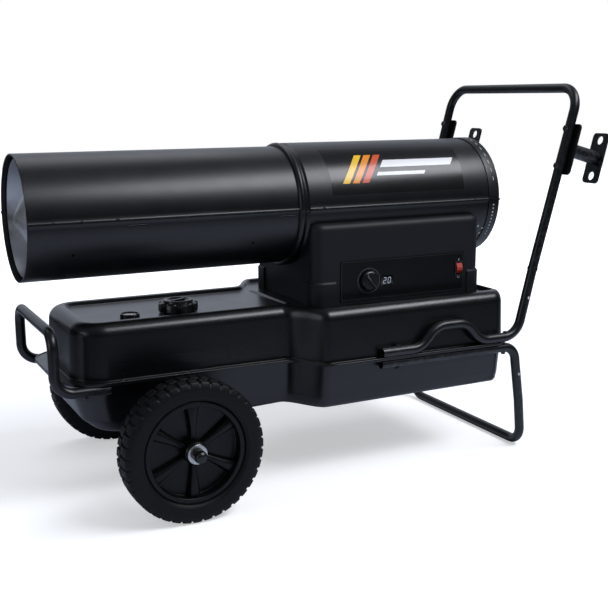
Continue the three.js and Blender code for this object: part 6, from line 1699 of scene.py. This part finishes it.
@dataclass
class Controls:
    """What is on the panel: the knob and its scale, the display's digits and the switch's marks."""

    face_y: float = -138.3
    knob: tuple[float, float] = (414.5, 370.0)
    knob_depth: float = 14.0
    rest_turn: float = math.radians(40)
    display: tuple[float, float] = (455.5, 367.5)
    switch: tuple[float, float] = (625.0, 378.5)

    def _on_face(self, skin: Skin, x: float, z: float) -> Skin:
        """Stands a skin drawn in X and Y on the panel at a place, its Z outwards."""
        return skin.turned(Matrix.Translation((x, self.face_y, z)) @ Matrix.Rotation(math.pi / 2, 4, "X"))

    def build(self) -> None:
        """Makes the knob, the scale, the digits and the marks."""
        self._knob()
        self._scale()
        self._digits()
        self._marks()

    def _knob(self) -> None:
        """The knob: a turned dial whose edge has fine ribs, and a raised grip across it."""
        count = 168
        angle = np.linspace(0, 2 * math.pi, count, endpoint=False)
        profile = rounded([[0, 8.9], [16.4, 8.9], [19.0, 7.2], [19.9, 0.35], [0, 0.35]],
                          [0, 2.0, 1.2, 0.5, 0], 5)
        rib = 0.35 * (0.5 + 0.5 * np.cos(42 * angle))[None]
        edge = np.clip((profile[:, 0] - 16.5) / 2, 0, 1)[:, None]
        radius = profile[:, 0][:, None] - rib * edge
        grid = np.stack([radius * np.cos(angle), radius * np.sin(angle),
                         profile[:, 1][:, None] * np.ones_like(angle)], -1)
        skin = Skin().grid(grid)
        skin.merge(slab(rectangle(7.6, 33.6, 3.2), 8.0, self.knob_depth - 0.1, 1.6, 4))
        skin.merge(revolve(np.array([[0, -14.2], [2.9, -14.2], [2.9, 1], [0, 1]]), Axis.Z, sides=20,
                           closed=False))
        turned = skin.turned(Matrix.Rotation(self.rest_turn, 4, "Z"))
        piece = self._on_face(turned, *self.knob).make("dial_knob", CAP.build(), "knob", "black_plastic", 32)
        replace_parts(piece, "thermostat_knob")
        line = slab(rectangle(1.3, 13.0, 0.3) + [0, 9.6], self.knob_depth - 0.15, self.knob_depth - 0.02,
                    0.04, 1)
        line = line.turned(Matrix.Rotation(self.rest_turn, 4, "Z"))
        self._on_face(line, *self.knob).make("dial_pointer", PRINT_GREY.build(), "knob", "panel_film")

    def _scale(self) -> None:
        """A thin printed ring about the knob with plain marks."""
        skin = revolve(np.array([[24.1, 0.0], [24.8, 0.0], [24.8, 0.06], [24.1, 0.06]]), Axis.Z, sides=96)
        for i in range(11):
            mark = slab(rectangle(0.5, 2.2, 0.05, 1) + [0, 22.4], 0, 0.06, 0.02, 1)
            skin.merge(mark.turned(Matrix.Rotation(math.radians(135 - 27 * i), 4, "Z")))
        self._on_face(skin, *self.knob).make("dial_scale", PRINT_GREY.build(), "chassis", "panel_film")

    def _digits(self) -> None:
        """The display's window and two seven-segment numbers, leaning a little."""
        window = slab(rectangle(27.2, 22.2, 1.2), -0.05, 0.25, 0.1, 2)
        self._on_face(window, *self.display).make("display_window", DARK_GLASS.build(), "chassis",
                                                  "panel_film")
        width, height, bar = 5.6, 11.0, 1.25
        segments = {"a": (0, height / 2, True), "g": (0, 0, True), "d": (0, -height / 2, True),
                    "f": (-width / 2, height / 4, False),
                    "b": (width / 2, height / 4, False), "e": (-width / 2, -height / 4, False),
                    "c": (width / 2, -height / 4, False)}
        skin = Skin()
        lean = Matrix.Identity(4)
        lean[0][1] = 0.12
        for shift, lit in ((-5.2, "abged"), (5.2, "abcdef")):
            for key in lit:
                x, y, flat = segments[key]
                length = (width if flat else height / 2) - 0.5
                size = (length, bar) if flat else (bar, length)
                part = slab(rectangle(*size, 0.5, 2) + [x + shift, y], 0.25, 0.33, 0.03, 1)
                skin.merge(part)
        self._on_face(skin.turned(lean), *self.display).make("display_digits", DIGIT.build(), "chassis",
                                                             "panel_film")

    def _marks(self) -> None:
        """A thin printed border round the panel, and the two small marks by the switch."""
        x, z = self.switch
        skin = slab(rectangle(1.1, 4.6, 0.2, 1) + [x, z + 17.6], 0, 0.06, 0.02, 1)
        ring = revolve(np.array([[1.7, 0.0], [2.4, 0.0], [2.4, 0.06], [1.7, 0.06]]), Axis.Z, sides=32)
        skin.merge(ring.turned(Matrix.Translation((x, z - 17.6, 0))))
        skin.turned(Matrix.Translation((0, self.face_y, 0)) @ Matrix.Rotation(math.pi / 2, 4, "X")).make(
            "switch_marks", FACE_WHITE.build(), "chassis", "panel_film")
        border = rectangle(282, 75, 4)
        inner = inset(border, 0.6)
        line = Skin().grid(np.stack([np.column_stack([o, np.full(len(o), h)]) for o,
                                     h in ((border, 0.0), (border, 0.05), (inner, 0.05), (inner, 0.0))]),
                           rows_close=True)
        self._on_face(line, 495.0, 372.0).make("panel_border", PRINT_DARK.build(), "chassis", "panel_film")


PRINT_DARK = Finish("printed dark grey", shade(0.03), 0.5, tone=0.15, relief_scale=2000.0, relief_mm=0.01)


@dataclass
class Label:
    """A bare film on the tank's near wall, where the object has print."""

    name: str
    x: tuple[float, float]
    z: tuple[float, float]
    wall: float = 147.0

    def build(self) -> None:
        """Makes the film: it follows the wall, which draws in evenly from the flange to the rail."""
        columns, rows = 30, 8
        x, z = np.meshgrid(np.linspace(*self.x, columns), np.linspace(*self.z, rows))
        drawn = 20.5 - (334 - z) / 99.4 * 5.5
        grid = np.stack([x, -(self.wall - drawn) - 0.12, z], -1)
        back = grid + [0, 0.3, 0]
        skin = Skin().grid(grid, columns_close=False).grid(back, columns_close=False)
        rim = [np.concatenate([g[0], g[1:, -1], g[-1, ::-1][1:], g[::-1, 0][1:-1]]) for g in (grid, back)]
        skin.grid(np.stack(rim))
        skin.make(self.name, BLANK_LABEL.build(), "chassis", "panel_film", 60)


@dataclass
class CarriedOver:
    """The frame's own pieces that stay: flat or hidden ones, each given its finish."""

    finishes: dict[str, Finish] = field(default_factory=lambda: {
        "drain_plug": BLACK_ZINC, "axle": ZINC, "axle_bracket_left": POWDER, "axle_bracket_right": POWDER,
        "burner_head": ALLOY, "igniter": CERAMIC, "photocell": PLASTIC, "fan": ALLOY, "motor_shaft": ZINC,
        "motor_housing": MOTOR, "pump_body": ALLOY, "filter_end_cover": ALLOY, "motor_bracket": POWDER,
        "control_panel": PANEL, "thermostat_body": PLASTIC, "switch_body": PLASTIC, "power_rocker": RED,
        "circuit_board": BOARD, "ignition_transformer": PLASTIC, "cord_gland": PLASTIC,
        "fuel_filter": CLEAR_CUP,
        "fuel_line": HOSE, "air_line": NYLON})

    def build(self) -> None:
        """Assigns each finish to its object's slots; the mesh and its place stay as they are."""
        for node, finish in self.finishes.items():
            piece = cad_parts[node]
            material = finish.build()
            if not piece.material_slots:
                log.warning("%s has no material slot", node)
            for slot in piece.material_slots:
                slot.link = "OBJECT"
                slot.material = material
            log.info("%s keeps its mesh with %s", node, finish.name)


# ------------------------------------------------------------------ studio


@dataclass
class Studio:
    """The pale floor, the soft lights, the white surroundings and the camera."""

    camera_at: tuple[float, float, float] = (-0.9181, -1.84057, 0.72128)
    lens: float = 60.62
    yaw: float = 26.45
    pitch: float = 11.43
    roll: float = -0.27

    def build(self) -> None:
        """Makes all of it."""
        self._floor()
        self._world()
        self._lights()
        self._camera()
        bpy.context.scene.view_settings.view_transform = "Standard"

    def _floor(self) -> None:
        """A round floor whose colour goes over to plain white away from the object."""
        mesh = bpy.data.meshes.new("studio_floor")
        points = np.column_stack([circle(9.0, 96), np.full(96, -0.0002)])
        mesh.from_pydata(points.tolist(), [], [list(range(96))])
        floor = bpy.data.objects.new("studio_floor", mesh)
        bpy.context.scene.collection.objects.link(floor)
        material = bpy.data.materials.new("studio floor")
        material.use_nodes = True
        tree = Tree(material.node_tree)
        shader = material.node_tree.nodes["Principled BSDF"]
        paths = tree.node("LightPath")
        seen = paths.outputs["Is Camera Ray"]
        shader.inputs["Roughness"].default_value = 0.9
        shader.inputs["Specular IOR Level"].default_value = 0.1
        away = tree.node("VectorMath", {0: tree.place()}, operation="LENGTH").outputs["Value"]
        share = tree.ramp(away, 1.0, 2.6)
        near = tree.blend(tree.ramp(away, 0.9, 2.0), shade(0.75, COOL), shade(0.1, COOL))
        tree.tree.links.new(tree.blend(seen, near, shade(0.86)), shader.inputs["Base Color"])
        level = tree.math("MULTIPLY", seen, tree.math("MULTIPLY_ADD", share, 0.7, 0.46))
        tree.tree.links.new(level, shader.inputs["Emission Strength"])
        shader.inputs["Emission Color"].default_value = (1.0, 1.0, 1.0, 1.0)
        mesh.materials.append(material)

    def _world(self) -> None:
        """White for the camera; for reflections a dim surround that is lighter overhead."""
        world = bpy.data.worlds.new("studio")
        bpy.context.scene.world = world
        world.use_nodes = True
        tree = Tree(world.node_tree)
        background = world.node_tree.nodes["Background"]
        paths = tree.node("LightPath")
        split = tree.node("SeparateXYZ", {0: tree.node("TexCoord").outputs["Generated"]})
        behind = tree.ramp(tree.math("MULTIPLY_ADD", split.outputs[0], 0.45,
                                     tree.math("MULTIPLY", split.outputs[1], 0.9)), 0.3, 0.95)
        mirrored = tree.math("MAXIMUM", paths.outputs["Is Glossy Ray"], paths.outputs["Is Transmission Ray"])
        backdrop = tree.math("MULTIPLY", tree.math("MULTIPLY", behind, mirrored), 0.7)
        surround = tree.math("MULTIPLY_ADD", tree.ramp(split.outputs[2], 0.05, 0.9), 0.14, 0.03)
        plain = tree.math("MAXIMUM", backdrop, tree.math("MAXIMUM", surround,
                                                         tree.math("MULTIPLY",
                                                                   paths.outputs["Is Diffuse Ray"], 0.3)))
        strength = tree.math("MAXIMUM", plain, paths.outputs["Is Camera Ray"])
        tree.tree.links.new(strength, background.inputs["Strength"])
        tint = tree.blend(paths.outputs["Is Camera Ray"], shade(1.0, COOL), shade(1.0))
        tree.tree.links.new(tint, background.inputs["Color"])

    def _light(self, name: str, at: tuple[float, float, float], to: tuple[float, float, float],
               size: tuple[float, float], power: float) -> None:
        """One soft rectangular light."""
        data = bpy.data.lights.new(name, "AREA")
        data.shape = "RECTANGLE"
        data.size, data.size_y = size
        data.energy = power
        data.color = LAMP_TINT
        light = bpy.data.objects.new(name, data)
        bpy.context.scene.collection.objects.link(light)
        light.matrix_world = placed(at, np.array(at) - np.array(to))

    def _lights(self) -> None:
        """A wide key softbox high on the camera's right, an overhead one behind, and a weak left fill."""
        self._light("key softbox", (1.35, -1.6, 2.8), (0.0, 0.0, 0.5), (2.4, 1.1), 78)
        self._light("overhead softbox", (-0.3, 1.2, 2.6), (0.0, 0.0, 0.4), (2.6, 1.2), 13)
        self._light("left fill", (-3.0, -0.6, 0.9), (0.0, 0.0, 0.45), (1.2, 1.4), 9)

    def _camera(self) -> None:
        """The camera of the photograph, solved from its lines."""
        yaw, pitch, roll = (math.radians(a) for a in (self.yaw, self.pitch, self.roll))
        forward = Vector((math.sin(yaw) * math.cos(pitch), math.cos(yaw) * math.cos(pitch), -math.sin(pitch)))
        level = Vector((math.cos(yaw), -math.sin(yaw), 0))
        upward = level.cross(forward)
        right = level * math.cos(roll) + upward * math.sin(roll)
        up = upward * math.cos(roll) - level * math.sin(roll)
        data = bpy.data.cameras.new("photo_camera")
        data.lens, data.sensor_width = self.lens, 36.0
        camera = bpy.data.objects.new("photo_camera", data)
        bpy.context.scene.collection.objects.link(camera)
        turn = Matrix((right, up, -forward)).transposed().to_4x4()
        camera.matrix_world = Matrix.Translation(self.camera_at) @ turn
        bpy.context.scene.camera = camera


# ------------------------------------------------------------------ the whole


def main() -> None:
    """Builds every sub-assembly in order, then the studio."""
    logging.basicConfig(level=logging.INFO, format="%(name)s %(message)s")
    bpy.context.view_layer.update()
    FuelTank().build()
    Filler().build()
    FuelGauge().build()
    TubeFrame().build()
    Wheel(-1, "left").build()
    Wheel(1, "right", inner_y=220.0).build()
    Barrel().build()
    Burner().build()
    Housing().build()
    Controls().build()
    Label("label_large", (-106.0, 118.0), (249.0, 317.0)).build()
    Label("label_small", (126.0, 181.0), (244.0, 306.0)).build()
    CarriedOver().build()
    Studio().build()


if __name__ == "__main__":
    main()
